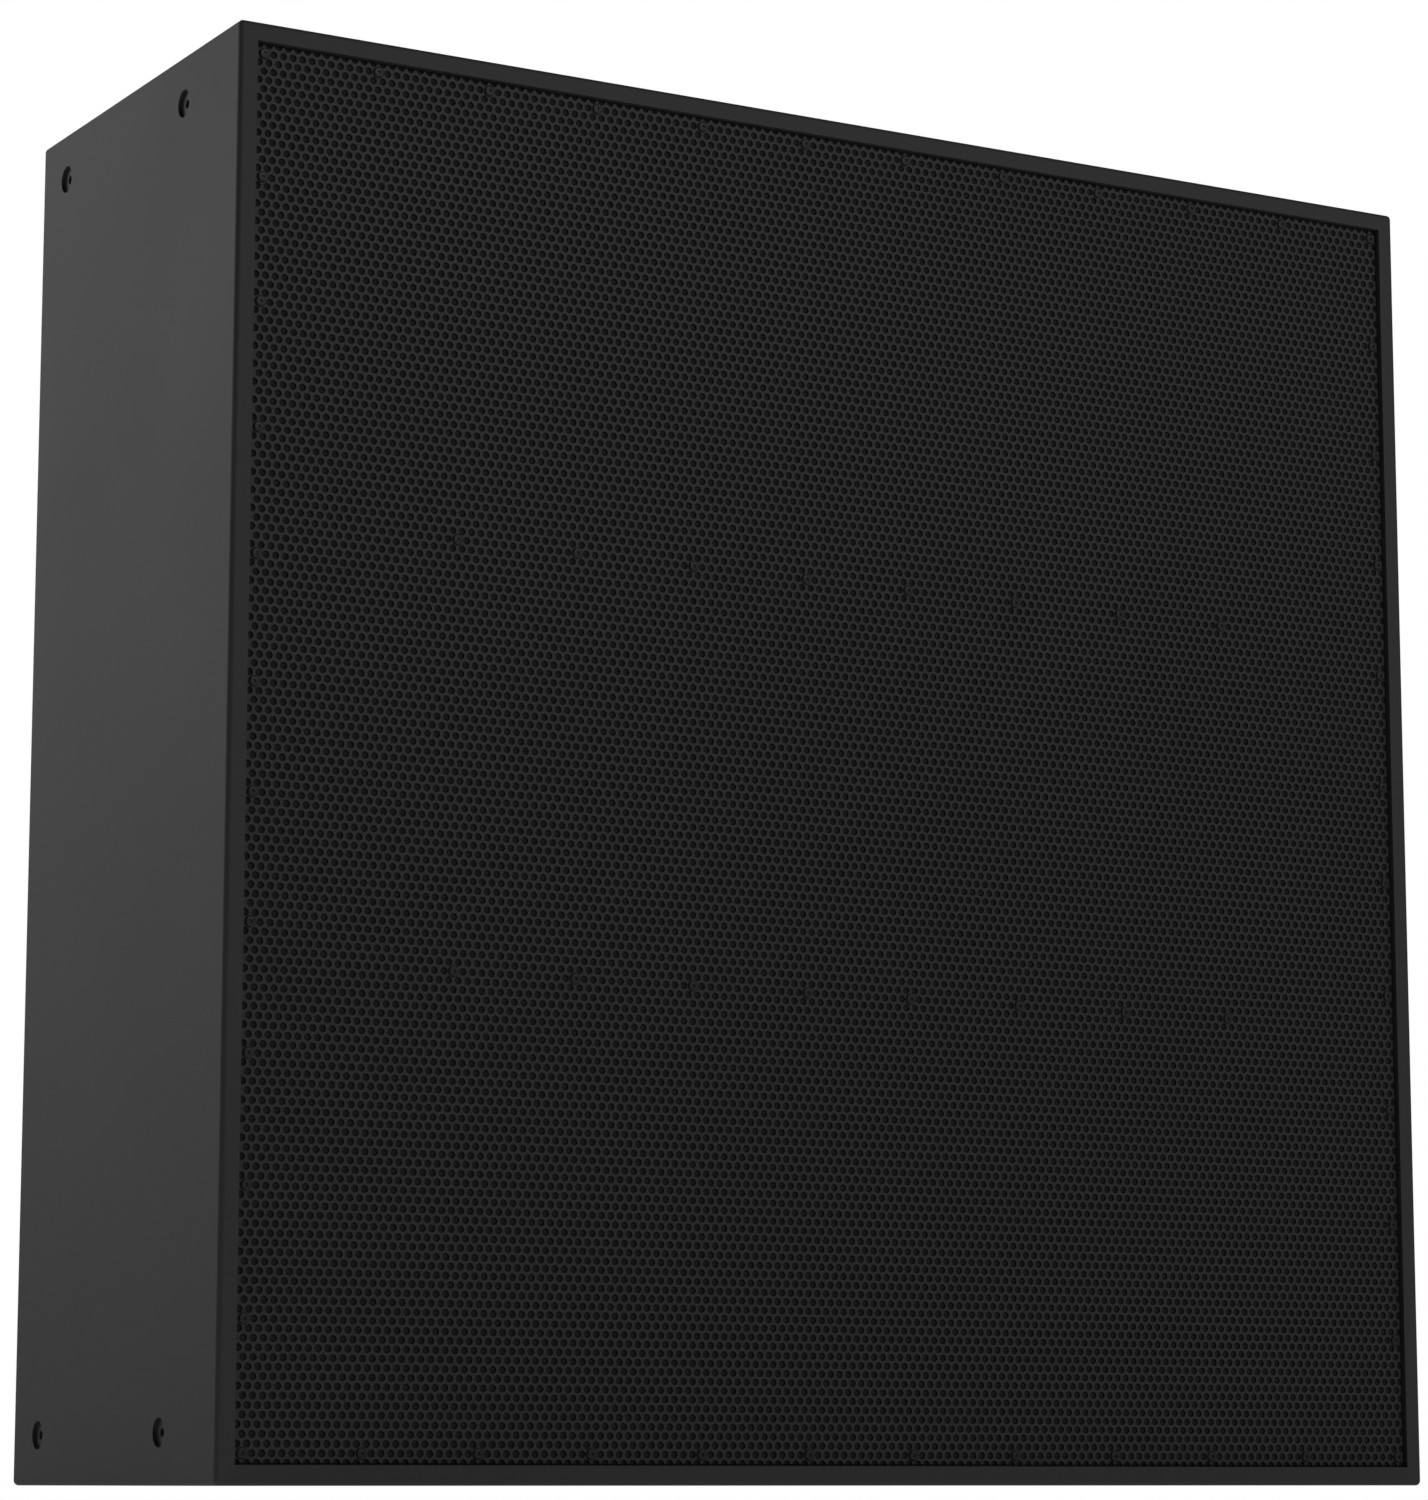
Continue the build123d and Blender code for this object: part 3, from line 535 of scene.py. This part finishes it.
# %% Stack the strips
GRILLE_STRIPS = []
strip_count = math.ceil((2 * half_rows + 1) / STRIP_ROWS)
for index in range(strip_count):
    name = f"grille_strip_{index + 1}"
    part = copy_of(strip, name, (0, 0, index * STRIP_ROWS * ROW))
    if index == 0:
        trim(part, (0, 0, sheet_low.z), (0, 0, -1))
    if index == strip_count - 1:
        trim(part, (0, 0, sheet_high.z), (0, 0, 1))
    steel = part.modifiers.new("steel", "SOLIDIFY")
    steel.thickness = SHEET
    steel.offset = -1
    apply_modifiers(part)
    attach(part, "cabinet")
    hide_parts("grille_sheet")
    GRILLE_STRIPS.append(name)
drop(strip)
low = min(v.co.y for v in bpy.data.objects["grille_strip_1"].data.vertices)
print(strip_count, "strips, front at", round(low, 5), "CAD front at", round(sheet_low.y, 5))
print("triangles in one:", 60 * columns * STRIP_ROWS)


# %% Powder coat on the steel
def powder_coat():
    """Black powder coat with a fine satin grain."""
    coat = Finish("grille_powder_coat", Specular_IOR_Level=0.4)
    grain = coat.noise(2200, 1.0)
    clouds = coat.noise(4, 3.0)
    coat.set("Base Color", coat.between(0.5 * grain + 0.5 * clouds, grey(0.026), grey(0.042)))
    coat.set("Roughness", 0.42 + 0.16 * grain)
    coat.bump(grain, 0.00012, 0.6)
    return coat


coat = powder_coat()
wear(coat, *GRILLE_STRIPS)

# %% [markdown]
# ## Cloth behind the grille
# A thin black knit is stretched over the battens behind the steel, so that nothing behind
# the holes catches the light. A fine grid is enough: the cloth is flat because it is
# stretched, and its knit is in its finish.


# %% Cloth
KNIT = 0.0008


def stretched_cloth():
    low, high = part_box("grille_cloth")
    width, height = high.x - low.x, high.z - low.z
    bpy.ops.mesh.primitive_grid_add(
        x_subdivisions=60,
        y_subdivisions=60,
        size=1,
        location=(0, (low.y + high.y) / 2, (low.z + high.z) / 2),
        rotation=(math.pi / 2, 0, 0),
    )
    cloth = bpy.context.object
    cloth.name = "cloth"
    cloth.scale = (width, height, 1)
    settle(cloth)
    thick = cloth.modifiers.new("thick", "SOLIDIFY")
    thick.thickness = KNIT
    thick.offset = 0
    apply_modifiers(cloth)
    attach(cloth, "cabinet")
    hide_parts("grille_cloth")
    return cloth


cloth = stretched_cloth()


def black_knit():
    """Tiny loops in rows, which swallow most of the light."""
    knit = Finish("black_knit", Specular_IOR_Level=0.1, Roughness=0.95)
    weave = knit.stripes("Z", 0.0012) * knit.stripes("X", 0.00095)
    knit.set("Base Color", knit.between(weave, grey(0.026), grey(0.046)))
    knit.bump(weave, 0.0002, 0.5)
    return knit


wear(black_knit(), "cloth")
print("cloth", [round(x, 4) for x in cloth.dimensions])

# %% [markdown]
# ## Screws
# Pan-headed screws with a hexagon socket hold the grille, and smaller ones the input plate.
# One screw of each size is modelled along Z: a cylinder, its front rim bevelled, a hexagonal
# prism cut out with a Boolean, and the shank pulled out of the back of the head by inset and
# extrude. The places come from the CAD screws: a copy of the node is separated into its
# loose solids, and each one's box gives a place. The copies are joined into one piece.


# %% More mesh helpers
def edit(piece):
    only(piece)
    bpy.ops.object.mode_set(mode="EDIT")


def object_mode():
    bpy.ops.object.mode_set(mode="OBJECT")


def choose_faces(piece, test):
    """Selects, in edit mode, the faces whose centre and normal pass a test."""
    bpy.ops.mesh.select_mode(type="FACE")
    bpy.ops.mesh.select_all(action="DESELECT")
    mesh = bmesh.from_edit_mesh(piece.data)
    for face in mesh.faces:
        face.select_set(test(face.calc_center_median(), face.normal))
    bmesh.update_edit_mesh(piece.data)


def choose_edges(piece, test):
    """Selects, in edit mode, the edges whose two ends pass a test."""
    bpy.ops.mesh.select_mode(type="EDGE")
    bpy.ops.mesh.select_all(action="DESELECT")
    mesh = bmesh.from_edit_mesh(piece.data)
    for edge in mesh.edges:
        edge.select_set(all(test(vertex.co) for vertex in edge.verts))
    bmesh.update_edit_mesh(piece.data)


def extrude(step):
    bpy.ops.mesh.extrude_region_move(TRANSFORM_OT_translate={"value": step})


def cut(piece, cutter):
    """Takes one piece out of another."""
    saw = piece.modifiers.new("cut", "BOOLEAN")
    saw.operation = "DIFFERENCE"
    saw.object = cutter
    apply_modifiers(piece)
    drop(cutter)


def joined(pieces, name):
    bpy.ops.object.select_all(action="DESELECT")
    for piece in pieces:
        piece.select_set(True)
    bpy.context.view_layer.objects.active = pieces[0]
    bpy.ops.object.join()
    pieces[0].name = name
    return pieces[0]


SAME_POINT = 1e-6


def merged_copy(node, name):
    """A copy of a CAD node whose loose triangles are joined up."""
    twin = copy_of(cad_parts[node], name)
    edit(twin)
    bpy.ops.mesh.select_all(action="SELECT")
    bpy.ops.mesh.remove_doubles(threshold=SAME_POINT)
    object_mode()
    return twin


def solids_of(node):
    """The boxes of a CAD node's separate solids, from the bottom left one up."""
    spare = merged_copy(node, "spare")
    edit(spare)
    bpy.ops.mesh.select_all(action="SELECT")
    bpy.ops.mesh.separate(type="LOOSE")
    object_mode()
    boxes = []
    for part in list(bpy.context.selected_objects):
        columns_of = list(zip(*(vertex.co for vertex in part.data.vertices)))
        boxes.append((Vector(map(min, columns_of)), Vector(map(max, columns_of))))
        drop(part)
    return sorted(boxes, key=lambda box: (round(box[0].z, 3), round(box[0].x, 3)))


def fit_out(piece, body, node):
    """Says what a finished piece rides on and stands for."""
    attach(piece, body)
    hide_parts(node)
    return piece


# %% One screw
def pan_screw(radius, height, key, shank, length):
    """A screw along Z, its head above the origin. All sizes in metres."""
    bpy.ops.mesh.primitive_cylinder_add(
        vertices=24, radius=radius, depth=height, location=(0, 0, height / 2)
    )
    screw = bpy.context.object
    settle(screw)
    edit(screw)
    choose_edges(screw, lambda point: point.z > 0.9 * height)
    bpy.ops.mesh.bevel(offset=0.6 * height, segments=4, affect="EDGES")
    choose_faces(screw, lambda centre, normal: normal.z < -0.9)
    bpy.ops.mesh.inset(thickness=radius - shank)
    extrude((0, 0, -0.9 * length))
    extrude((0, 0, -0.1 * length))
    bpy.ops.transform.resize(value=(0.4, 0.4, 1))
    object_mode()
    bpy.ops.mesh.primitive_cylinder_add(
        vertices=6, radius=key / math.sqrt(3), depth=height, location=(0, 0, 0.95 * height)
    )
    cut(screw, bpy.context.object)
    only(screw)
    bpy.ops.object.shade_smooth_by_angle(angle=math.radians(35))
    return screw


def planted(screw, head, boxes, name, outwards):
    """Copies of a screw, one in each box, with the heads towards -Y or +Y."""
    copies = []
    for low, high in boxes:
        head_back = low.y + head if outwards < 0 else high.y - head
        twin = copy_of(screw, "screw")
        twin.rotation_euler.x = -outwards * math.pi / 2
        twin.location = ((low.x + high.x) / 2, head_back, (low.z + high.z) / 2)
        copies.append(twin)
    drop(screw)
    row = joined(copies, name)
    settle(row)
    return row


# Head radius, head height, key width, shank radius and length.
GRILLE_SCREW = (0.0043, 0.0018, 0.0025, 0.002, 0.022)
PLATE_SCREW = (0.0035, 0.002, 0.002, 0.00175, 0.012)

one = pan_screw(*GRILLE_SCREW)
places = solids_of("grille_screws")
grille_row = planted(one, GRILLE_SCREW[1], places, "grille_screw_row", -1)
fit_out(grille_row, "cabinet", "grille_screws")
one = pan_screw(*PLATE_SCREW)
plate_row = planted(one, PLATE_SCREW[1], solids_of("input_plate_screws"), "plate_screw_row", 1)
fit_out(plate_row, "cabinet", "input_plate_screws")
print(len(places), "grille screws, box", [round(v, 4) for v in grille_row.dimensions])


# %% Black oxide
def black_oxide():
    """Blackened steel: a thin dark film, a little brighter where it is rubbed."""
    film = Finish("black_oxide", Metallic=0.6)
    rubbed = film.noise(1500, 2.0)
    film.set("Base Color", film.between(rubbed, grey(0.018), grey(0.05)))
    film.set("Roughness", 0.34 + 0.2 * rubbed)
    film.bump(rubbed, 0.00003, 0.5)
    return film


wear(black_oxide(), "grille_screw_row", "plate_screw_row", "driver_bolts")

# %% [markdown]
# ## Input plate, sockets and rigging inserts
# These are right in CAD but for one thing: every pressed or turned edge is knife-sharp. A
# copy of the node is merged, its flat faces are dissolved into whole ones, and a narrow Bevel
# rounds each edge that turns by more than the facets of a curve do.


# %% Softened copies
def softened(node, name, radius):
    """A copy of a CAD node with its sharp edges rounded."""
    piece = merged_copy(node, name)
    edit(piece)
    bpy.ops.mesh.select_all(action="SELECT")
    bpy.ops.mesh.dissolve_limited(angle_limit=math.radians(1))
    object_mode()
    round_edges = piece.modifiers.new("round_edges", "BEVEL")
    round_edges.width = radius
    round_edges.segments = 3
    round_edges.limit_method = "ANGLE"
    round_edges.angle_limit = math.radians(40)
    round_edges.use_clamp_overlap = True
    apply_modifiers(piece)
    bpy.ops.object.shade_smooth_by_angle(angle=math.radians(35))
    print(name, len(piece.data.polygons), "faces")
    return fit_out(piece, "cabinet", node)


softened("input_plate", "pressed_input_plate", 0.0006)
softened("input_sockets", "locking_sockets", 0.0003)
softened("rigging_inserts", "threaded_inserts", 0.0003)


# %% Their finishes
def plate_coat():
    """Satin black powder coat, a little finer than the grille's."""
    coat = Finish("plate_coat", Specular_IOR_Level=0.4)
    grain = coat.noise(1800, 1.0)
    coat.set("Base Color", coat.between(grain, grey(0.014), grey(0.026)))
    coat.set("Roughness", 0.36 + 0.16 * grain)
    coat.bump(grain, 0.00008, 0.6)
    return coat


BORE_RADIUS = 0.0099
CONTACT_START = 0.0045
CONTACT_END = 0.004


def socket_plastic():
    """Moulded glass-filled plastic, with the metal contacts that stand in each bore."""
    mould = Finish("socket_plastic", Specular_IOR_Level=0.4)
    low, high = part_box("input_sockets")
    half = (high.z - low.z) / 2
    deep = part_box("input_plate")[0].y + CONTACT_END
    contact = 0.0
    for x in (low.x + half, high.x - half):
        contact = (mould.from_axis(x, (low.z + high.z) / 2) < BORE_RADIUS) + contact
    _, depth, _ = mould.axes()
    contact = contact * (depth < deep) * (depth > low.y + CONTACT_START)
    grain = mould.noise(1400, 2.0)
    plastic = mould.between(grain, grey(0.011), grey(0.02))
    mould.set("Base Color", mould.between(contact, plastic, (0.75, 0.72, 0.66, 1)))
    mould.set("Metallic", contact)
    mould.set("Roughness", 0.42 + 0.12 * grain - 0.15 * contact)
    mould.bump(grain, 0.00005, 0.5)
    return mould


def dark_zinc():
    """Zinc plate passivated black, slightly patchy."""
    zinc = Finish("dark_zinc", Metallic=0.3)
    patches = zinc.noise(350, 3.0)
    zinc.set("Base Color", zinc.between(patches, grey(0.035), grey(0.065)))
    zinc.set("Roughness", 0.42 + 0.18 * patches)
    zinc.bump(zinc.noise(1600, 1.0), 0.00004, 0.5)
    return zinc


wear(plate_coat(), "pressed_input_plate")
wear(socket_plastic(), "locking_sockets", "driver_terminals")
wear(dark_zinc(), "threaded_inserts")

# %% [markdown]
# ## Surrounds
# A woofer's cone hangs from its frame in a half roll of rubber, glued down by a flat lip at
# each side. Its outline is drawn point by point with the extrude tool, spun round the
# woofer's axis, and given the rubber's thickness with Solidify. Each copy is moved to its
# woofer, and for each point a share along the radius, from the frame to the cone, is worked
# out but not kept.

# %% Woofer measures
WOOFERS = range(1, 5)
SPIN_STEPS = 96
surround_low, surround_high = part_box("surround_1")
axis_x = (surround_low.x + surround_high.x) / 2
axis_z = (surround_low.z + surround_high.z) / 2
RUBBER = 0.0012
LIP = 0.006
OUTER_LIP = (surround_high.x - surround_low.x) / 2
ROLL = surround_high.y - surround_low.y - RUBBER / 2
ROLL_OUTSIDE = OUTER_LIP - LIP
ROLL_MIDDLE = ROLL_OUTSIDE - ROLL
ROLL_INSIDE = ROLL_MIDDLE - ROLL
print("roll radius", round(ROLL, 4), "from", round(ROLL_INSIDE, 4), "to", round(ROLL_OUTSIDE, 4))


# %% Draw, spin and blend
def drawn(points):
    """A line through (radius, y) points beside the first woofer's axis."""
    start = Vector((axis_x + points[0][0], points[0][1], axis_z))
    bpy.ops.mesh.primitive_plane_add(size=0.001, location=start)
    line = bpy.context.object
    settle(line)
    edit(line)
    bpy.ops.mesh.select_mode(type="VERT")
    bpy.ops.mesh.select_all(action="SELECT")
    bpy.ops.mesh.merge(type="CENTER")
    for (r0, y0), (r1, y1) in zip(points, points[1:]):
        step = (r1 - r0, y1 - y0, 0)
        bpy.ops.mesh.extrude_vertices_move(TRANSFORM_OT_translate={"value": step})
    return line


def spun(points, thickness):
    """A turned sheet about the first woofer's axis."""
    ring = drawn(points)
    bpy.ops.mesh.select_all(action="SELECT")
    bpy.ops.mesh.spin(
        steps=SPIN_STEPS, angle=2 * math.pi, center=(axis_x, 0, axis_z), axis=(0, 1, 0)
    )
    bpy.ops.mesh.select_all(action="SELECT")
    bpy.ops.mesh.remove_doubles(threshold=SAME_POINT)
    bpy.ops.mesh.normals_make_consistent(inside=False)
    object_mode()
    skin = ring.modifiers.new("skin", "SOLIDIFY")
    skin.thickness = thickness
    skin.offset = 0
    apply_modifiers(ring)
    bpy.ops.object.shade_smooth_by_angle(angle=math.radians(50))
    return ring


def flexing(model, name, number, fixed_radius, moving_radius):
    """A copy at one woofer; a share between its frame and its cone is worked out per point, not
    kept.
    """
    low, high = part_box(f"surround_{number}")
    x, z = (low.x + high.x) / 2, (low.z + high.z) / 2
    piece = copy_of(model, f"{name}_{number}", (x - axis_x, 0, z - axis_z))
    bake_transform(piece)
    for vertex in piece.data.vertices:
        radius = math.hypot(vertex.co.x - x, vertex.co.z - z)
        share = (fixed_radius - radius) / (fixed_radius - moving_radius)
        share = min(1.0, max(0.0, share))
        share * share * (3 - 2 * share)
    return piece


# %% Surrounds
lip_y = surround_high.y - RUBBER / 2
first = math.asin(RUBBER / 2 / ROLL)
arc = [first + (math.pi - 2 * first) * i / 20 for i in range(21)]
outline = [(OUTER_LIP, lip_y)]
outline += [
    (ROLL_MIDDLE + ROLL * math.cos(angle), surround_high.y - ROLL * math.sin(angle))
    for angle in arc
]
outline.append((ROLL_INSIDE - LIP, lip_y))
roll = spun(outline, RUBBER)
for number in WOOFERS:
    piece = flexing(roll, "rubber_roll", number, ROLL_OUTSIDE, ROLL_INSIDE)
    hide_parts(f"surround_{number}")
drop(roll)
measures = [round(v, 4) for v in bpy.data.objects["rubber_roll_1"].dimensions]
print("surround", measures, "CAD", [round(v, 4) for v in surround_high - surround_low])


def surround_rubber():
    """Matt rubber with a dusty bloom."""
    rubber = Finish("surround_rubber", Specular_IOR_Level=0.35)
    bloom = rubber.noise(30, 4.0)
    rubber.set("Base Color", rubber.between(bloom, grey(0.010), grey(0.022)))
    rubber.set("Roughness", 0.5 + 0.25 * bloom)
    rubber.bump(rubber.noise(900, 1.0), 0.00005, 0.4)
    return rubber


wear(surround_rubber(), *(f"rubber_roll_{number}" for number in WOOFERS))

# %% [markdown]
# ## Spiders
# The spider is a disc of resin-treated cotton, pressed into rings, that keeps the coil in the
# middle of the magnet. It is spun from a wave in the same way as the surround.

# %% Spiders
spider_low, spider_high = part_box("spider_1")
CLOTH_SKIN = 0.0008
WAVES = 6
COLLAR = 0.0025
LEDGE = 0.007
WINDING_DEPTH = 0.0016
coil_low, coil_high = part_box("voice_coil_1")
FORMER = (coil_high.x - coil_low.x) / 2 - WINDING_DEPTH
SPIDER_EDGE = (spider_high.x - spider_low.x) / 2
wave_from = FORMER + COLLAR
wave_to = SPIDER_EDGE - LEDGE
wave_height = (spider_high.y - spider_low.y - CLOTH_SKIN) / 2
spider_y = (spider_high.y + spider_low.y) / 2
outline = [(FORMER, spider_y)]
for i in range(8 * WAVES + 1):
    share = i / (8 * WAVES)
    height = wave_height * math.sin(2 * math.pi * WAVES * share)
    outline.append((wave_from + (wave_to - wave_from) * share, spider_y + height))
outline.append((SPIDER_EDGE, spider_y))
disc = spun(outline, CLOTH_SKIN)
for number in WOOFERS:
    piece = flexing(disc, "pressed_spider", number, wave_to, wave_from)
    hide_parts(f"spider_{number}")
drop(disc)
measures = [round(v, 4) for v in bpy.data.objects["pressed_spider_1"].dimensions]
print("spider", measures, "CAD", [round(v, 4) for v in spider_high - spider_low])


def resin_cloth():
    """Open cotton weave under amber resin."""
    cloth = Finish("resin_cloth", Specular_IOR_Level=0.4)
    weave = cloth.stripes("X", 0.0014) * cloth.stripes("Z", 0.0014)
    tone = 0.6 * weave + 0.4 * cloth.noise(20, 3.0)
    cloth.set("Base Color", cloth.between(tone, (0.24, 0.13, 0.035, 1), (0.52, 0.34, 0.13, 1)))
    cloth.set("Roughness", 0.5 + 0.25 * weave)
    cloth.bump(weave, 0.0003, 0.7)
    return cloth


wear(resin_cloth(), *(f"pressed_spider_{number}" for number in WOOFERS))

# %% [markdown]
# ## Woofers
# The rest of a woofer keeps its CAD shape. The frame is cast aluminium under black powder
# coat, the cone and the dust cap are coated paper pulp, in which the fibres lie every way,
# the magnet is a dull ceramic and the steel beside it is plated with bright zinc. The coil
# is one CAD node of two materials, told apart by depth: copper wire, turn on turn, at the
# magnet's gap, and a brown plastic former above it.


# %% Woofer finishes
def cast_coat():
    coat = Finish("cast_coat", Specular_IOR_Level=0.45)
    peel = coat.noise(500, 2.0)
    coat.set("Base Color", coat.between(peel, grey(0.014), grey(0.028)))
    coat.set("Roughness", 0.4 + 0.15 * peel)
    coat.bump(peel, 0.00015, 0.6)
    return coat


def paper_pulp():
    pulp = Finish("paper_pulp", Specular_IOR_Level=0.35)
    stretch = [pulp.node("Mapping", Vector=pulp.place(), Scale=s) for s in ((9, 1, 1), (1, 1, 9))]
    fibres = 0.5 * pulp.noise(120, 4.0, stretch[0]) + 0.5 * pulp.noise(120, 4.0, stretch[1])
    pulp.set("Base Color", pulp.between(fibres, grey(0.016), grey(0.055)))
    pulp.set("Roughness", 0.55 + 0.25 * fibres)
    pulp.bump(fibres, 0.0004, 0.6)
    return pulp


def bright_zinc():
    zinc = Finish("bright_zinc", Metallic=1.0)
    spangle = zinc.node("TexVoronoi", output="Color", Vector=zinc.place(), Scale=260.0)
    level = zinc.node("RGBToBW", Color=spangle)
    zinc.set("Base Color", zinc.between(level, (0.50, 0.51, 0.54, 1), (0.66, 0.66, 0.64, 1)))
    zinc.set("Roughness", 0.26 + 0.16 * level)
    zinc.bump(zinc.noise(700, 2.0), 0.00005, 0.4)
    return zinc


def ferrite():
    stone = Finish("ferrite", Specular_IOR_Level=0.5)
    grain = stone.noise(900, 3.0)
    chips = stone.noise(90, 4.0) ** 3
    stone.set("Base Color", stone.between(grain + chips, grey(0.028), grey(0.07)))
    stone.set("Roughness", 0.5 + 0.2 * grain)
    stone.bump(0.5 * grain + chips, 0.0003, 0.6)
    return stone


WINDING_LENGTH = 0.018
BARE_END = 0.001
WIRE = 0.0005


def coil_finish():
    coil = Finish("coil", Specular_IOR_Level=0.5)
    top = coil_high.y - BARE_END - WINDING_LENGTH
    _, depth, _ = coil.axes()
    wound = depth > top
    turns = coil.stripes("Y", WIRE)
    wire = coil.between(turns, (0.36, 0.13, 0.05, 1), (0.80, 0.38, 0.19, 1))
    former = coil.between(coil.noise(60, 3.0), (0.16, 0.07, 0.02, 1), (0.24, 0.11, 0.035, 1))
    coil.set("Base Color", coil.between(wound, former, wire))
    coil.set("Metallic", 0.9 * wound)
    coil.set("Roughness", 0.34 + 0.1 * turns)
    coil.bump(turns * wound, 0.0002, 0.8)
    return coil


def each(*kinds):
    """The names of these pieces in all four woofers."""
    return [f"{kind}_{number}" for kind in kinds for number in WOOFERS]


wear(cast_coat(), *each("basket"))
wear(paper_pulp(), *each("cone", "dust_cap"))
wear(bright_zinc(), "tee_nuts", *each("top_plate", "yoke"))
wear(ferrite(), *each("magnet"))
wear(coil_finish(), *each("voice_coil"))
bare_kinds = ("basket", "cone", "dust_cap", "top_plate", "yoke", "magnet", "voice_coil")
print("finished", len(each(*bare_kinds)))


# %% [markdown]
# ## Ports, gaskets and leads
# The port tubes are moulded with a fine spark grain, the gaskets are foam with cells small
# enough to read as dust, and the leads have a dull rubbery jacket with a slight lay.


# %% Small finishes
def fine_black(name, low, high, rough, scale, depth, specular):
    """A black moulded or foamed skin: one grain drives its colour, sheen and bump."""
    skin = Finish(name, Specular_IOR_Level=specular)
    grain = skin.noise(scale, 2.0)
    skin.set("Base Color", skin.between(grain, grey(low), grey(high)))
    skin.set("Roughness", rough + 0.15 * grain)
    skin.bump(grain, depth, 0.6)
    return skin


wear(fine_black("port_plastic", 0.010, 0.018, 0.42, 1200, 0.00008, 0.4), "port_tubes")
wear(fine_black("gasket_foam", 0.008, 0.03, 0.8, 1500, 0.0004, 0.2), "driver_gaskets")
wear(fine_black("lead_jacket", 0.012, 0.022, 0.5, 400, 0.0001, 0.35), "driver_leads")

# %% [markdown]
# ## Wadding
# Pads of polyester wadding line the back, one between each pair of braces. A pad starts as a
# cube at its place, and the one behind the input plate has a hole cut for the dish. A voxel
# remesh makes an even skin, smoothing pulls its edges round, and a displacement by clouds
# gives the uneven loft of real wadding. Cloth simulation would add little here, because the
# pads are stapled flat, so it isn't used.

# %% Pads
FLUFF = 0.003
VOXEL = 0.006
clouds = bpy.data.textures.new("clouds", "CLOUDS")
clouds.noise_scale = 0.03
clouds.noise_depth = 3


def cube(low, high):
    bpy.ops.mesh.primitive_cube_add(size=1, location=(low + high) / 2)
    block = bpy.context.object
    block.scale = high - low
    settle(block)
    return block


def pad(low, high, hole):
    """A soft pad in a box, with a hole where it meets the input plate."""
    inset = Vector((FLUFF, FLUFF, FLUFF)) / 2
    block = cube(low + inset, high - inset)
    if hole:
        cut(block, cube(*hole))
    even = block.modifiers.new("even", "REMESH")
    even.mode = "VOXEL"
    even.voxel_size = VOXEL
    smooth = block.modifiers.new("smooth", "SMOOTH")
    smooth.iterations = 6
    fluff = block.modifiers.new("fluff", "DISPLACE")
    fluff.texture = clouds
    fluff.texture_coords = "GLOBAL"
    fluff.strength = FLUFF
    apply_modifiers(block)
    bpy.ops.object.shade_smooth()
    return block


LINING_MARGIN = 0.012
HOLE_REACH = 0.05
around = Vector((LINING_MARGIN, HOLE_REACH, LINING_MARGIN))
plate_low, plate_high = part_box("input_plate")
DISH_MARGIN = Vector((0.028, 0, 0.028))
hole = (plate_low + DISH_MARGIN - around, plate_high - DISH_MARGIN + around)
PADS = []
for index, (low, high) in enumerate(solids_of("damping_lining")):
    meets_plate = low.x < hole[0].x and hole[1].x < high.x and low.z < hole[0].z < high.z
    piece = pad(low, high, hole if meets_plate else None)
    piece.name = f"wadding_pad_{index + 1}"
    fit_out(piece, "cabinet", "damping_lining")
    PADS.append(piece.name)
    print(piece.name, len(piece.data.polygons), "faces, hole" if meets_plate else "faces")


def polyester():
    """Loose white fibres that lie every way."""
    felt = Finish("polyester", Specular_IOR_Level=0.2, Roughness=0.95)
    lay = felt.node("Mapping", Vector=felt.place(), Scale=(1, 1, 5))
    fibres = 0.6 * felt.noise(220, 5.0, lay) + 0.4 * felt.noise(90, 4.0)
    felt.set("Base Color", felt.between(fibres, (0.40, 0.40, 0.38, 1), (0.74, 0.74, 0.72, 1)))
    felt.bump(fibres, 0.002, 0.8)
    return felt


wear(polyester(), *PADS)
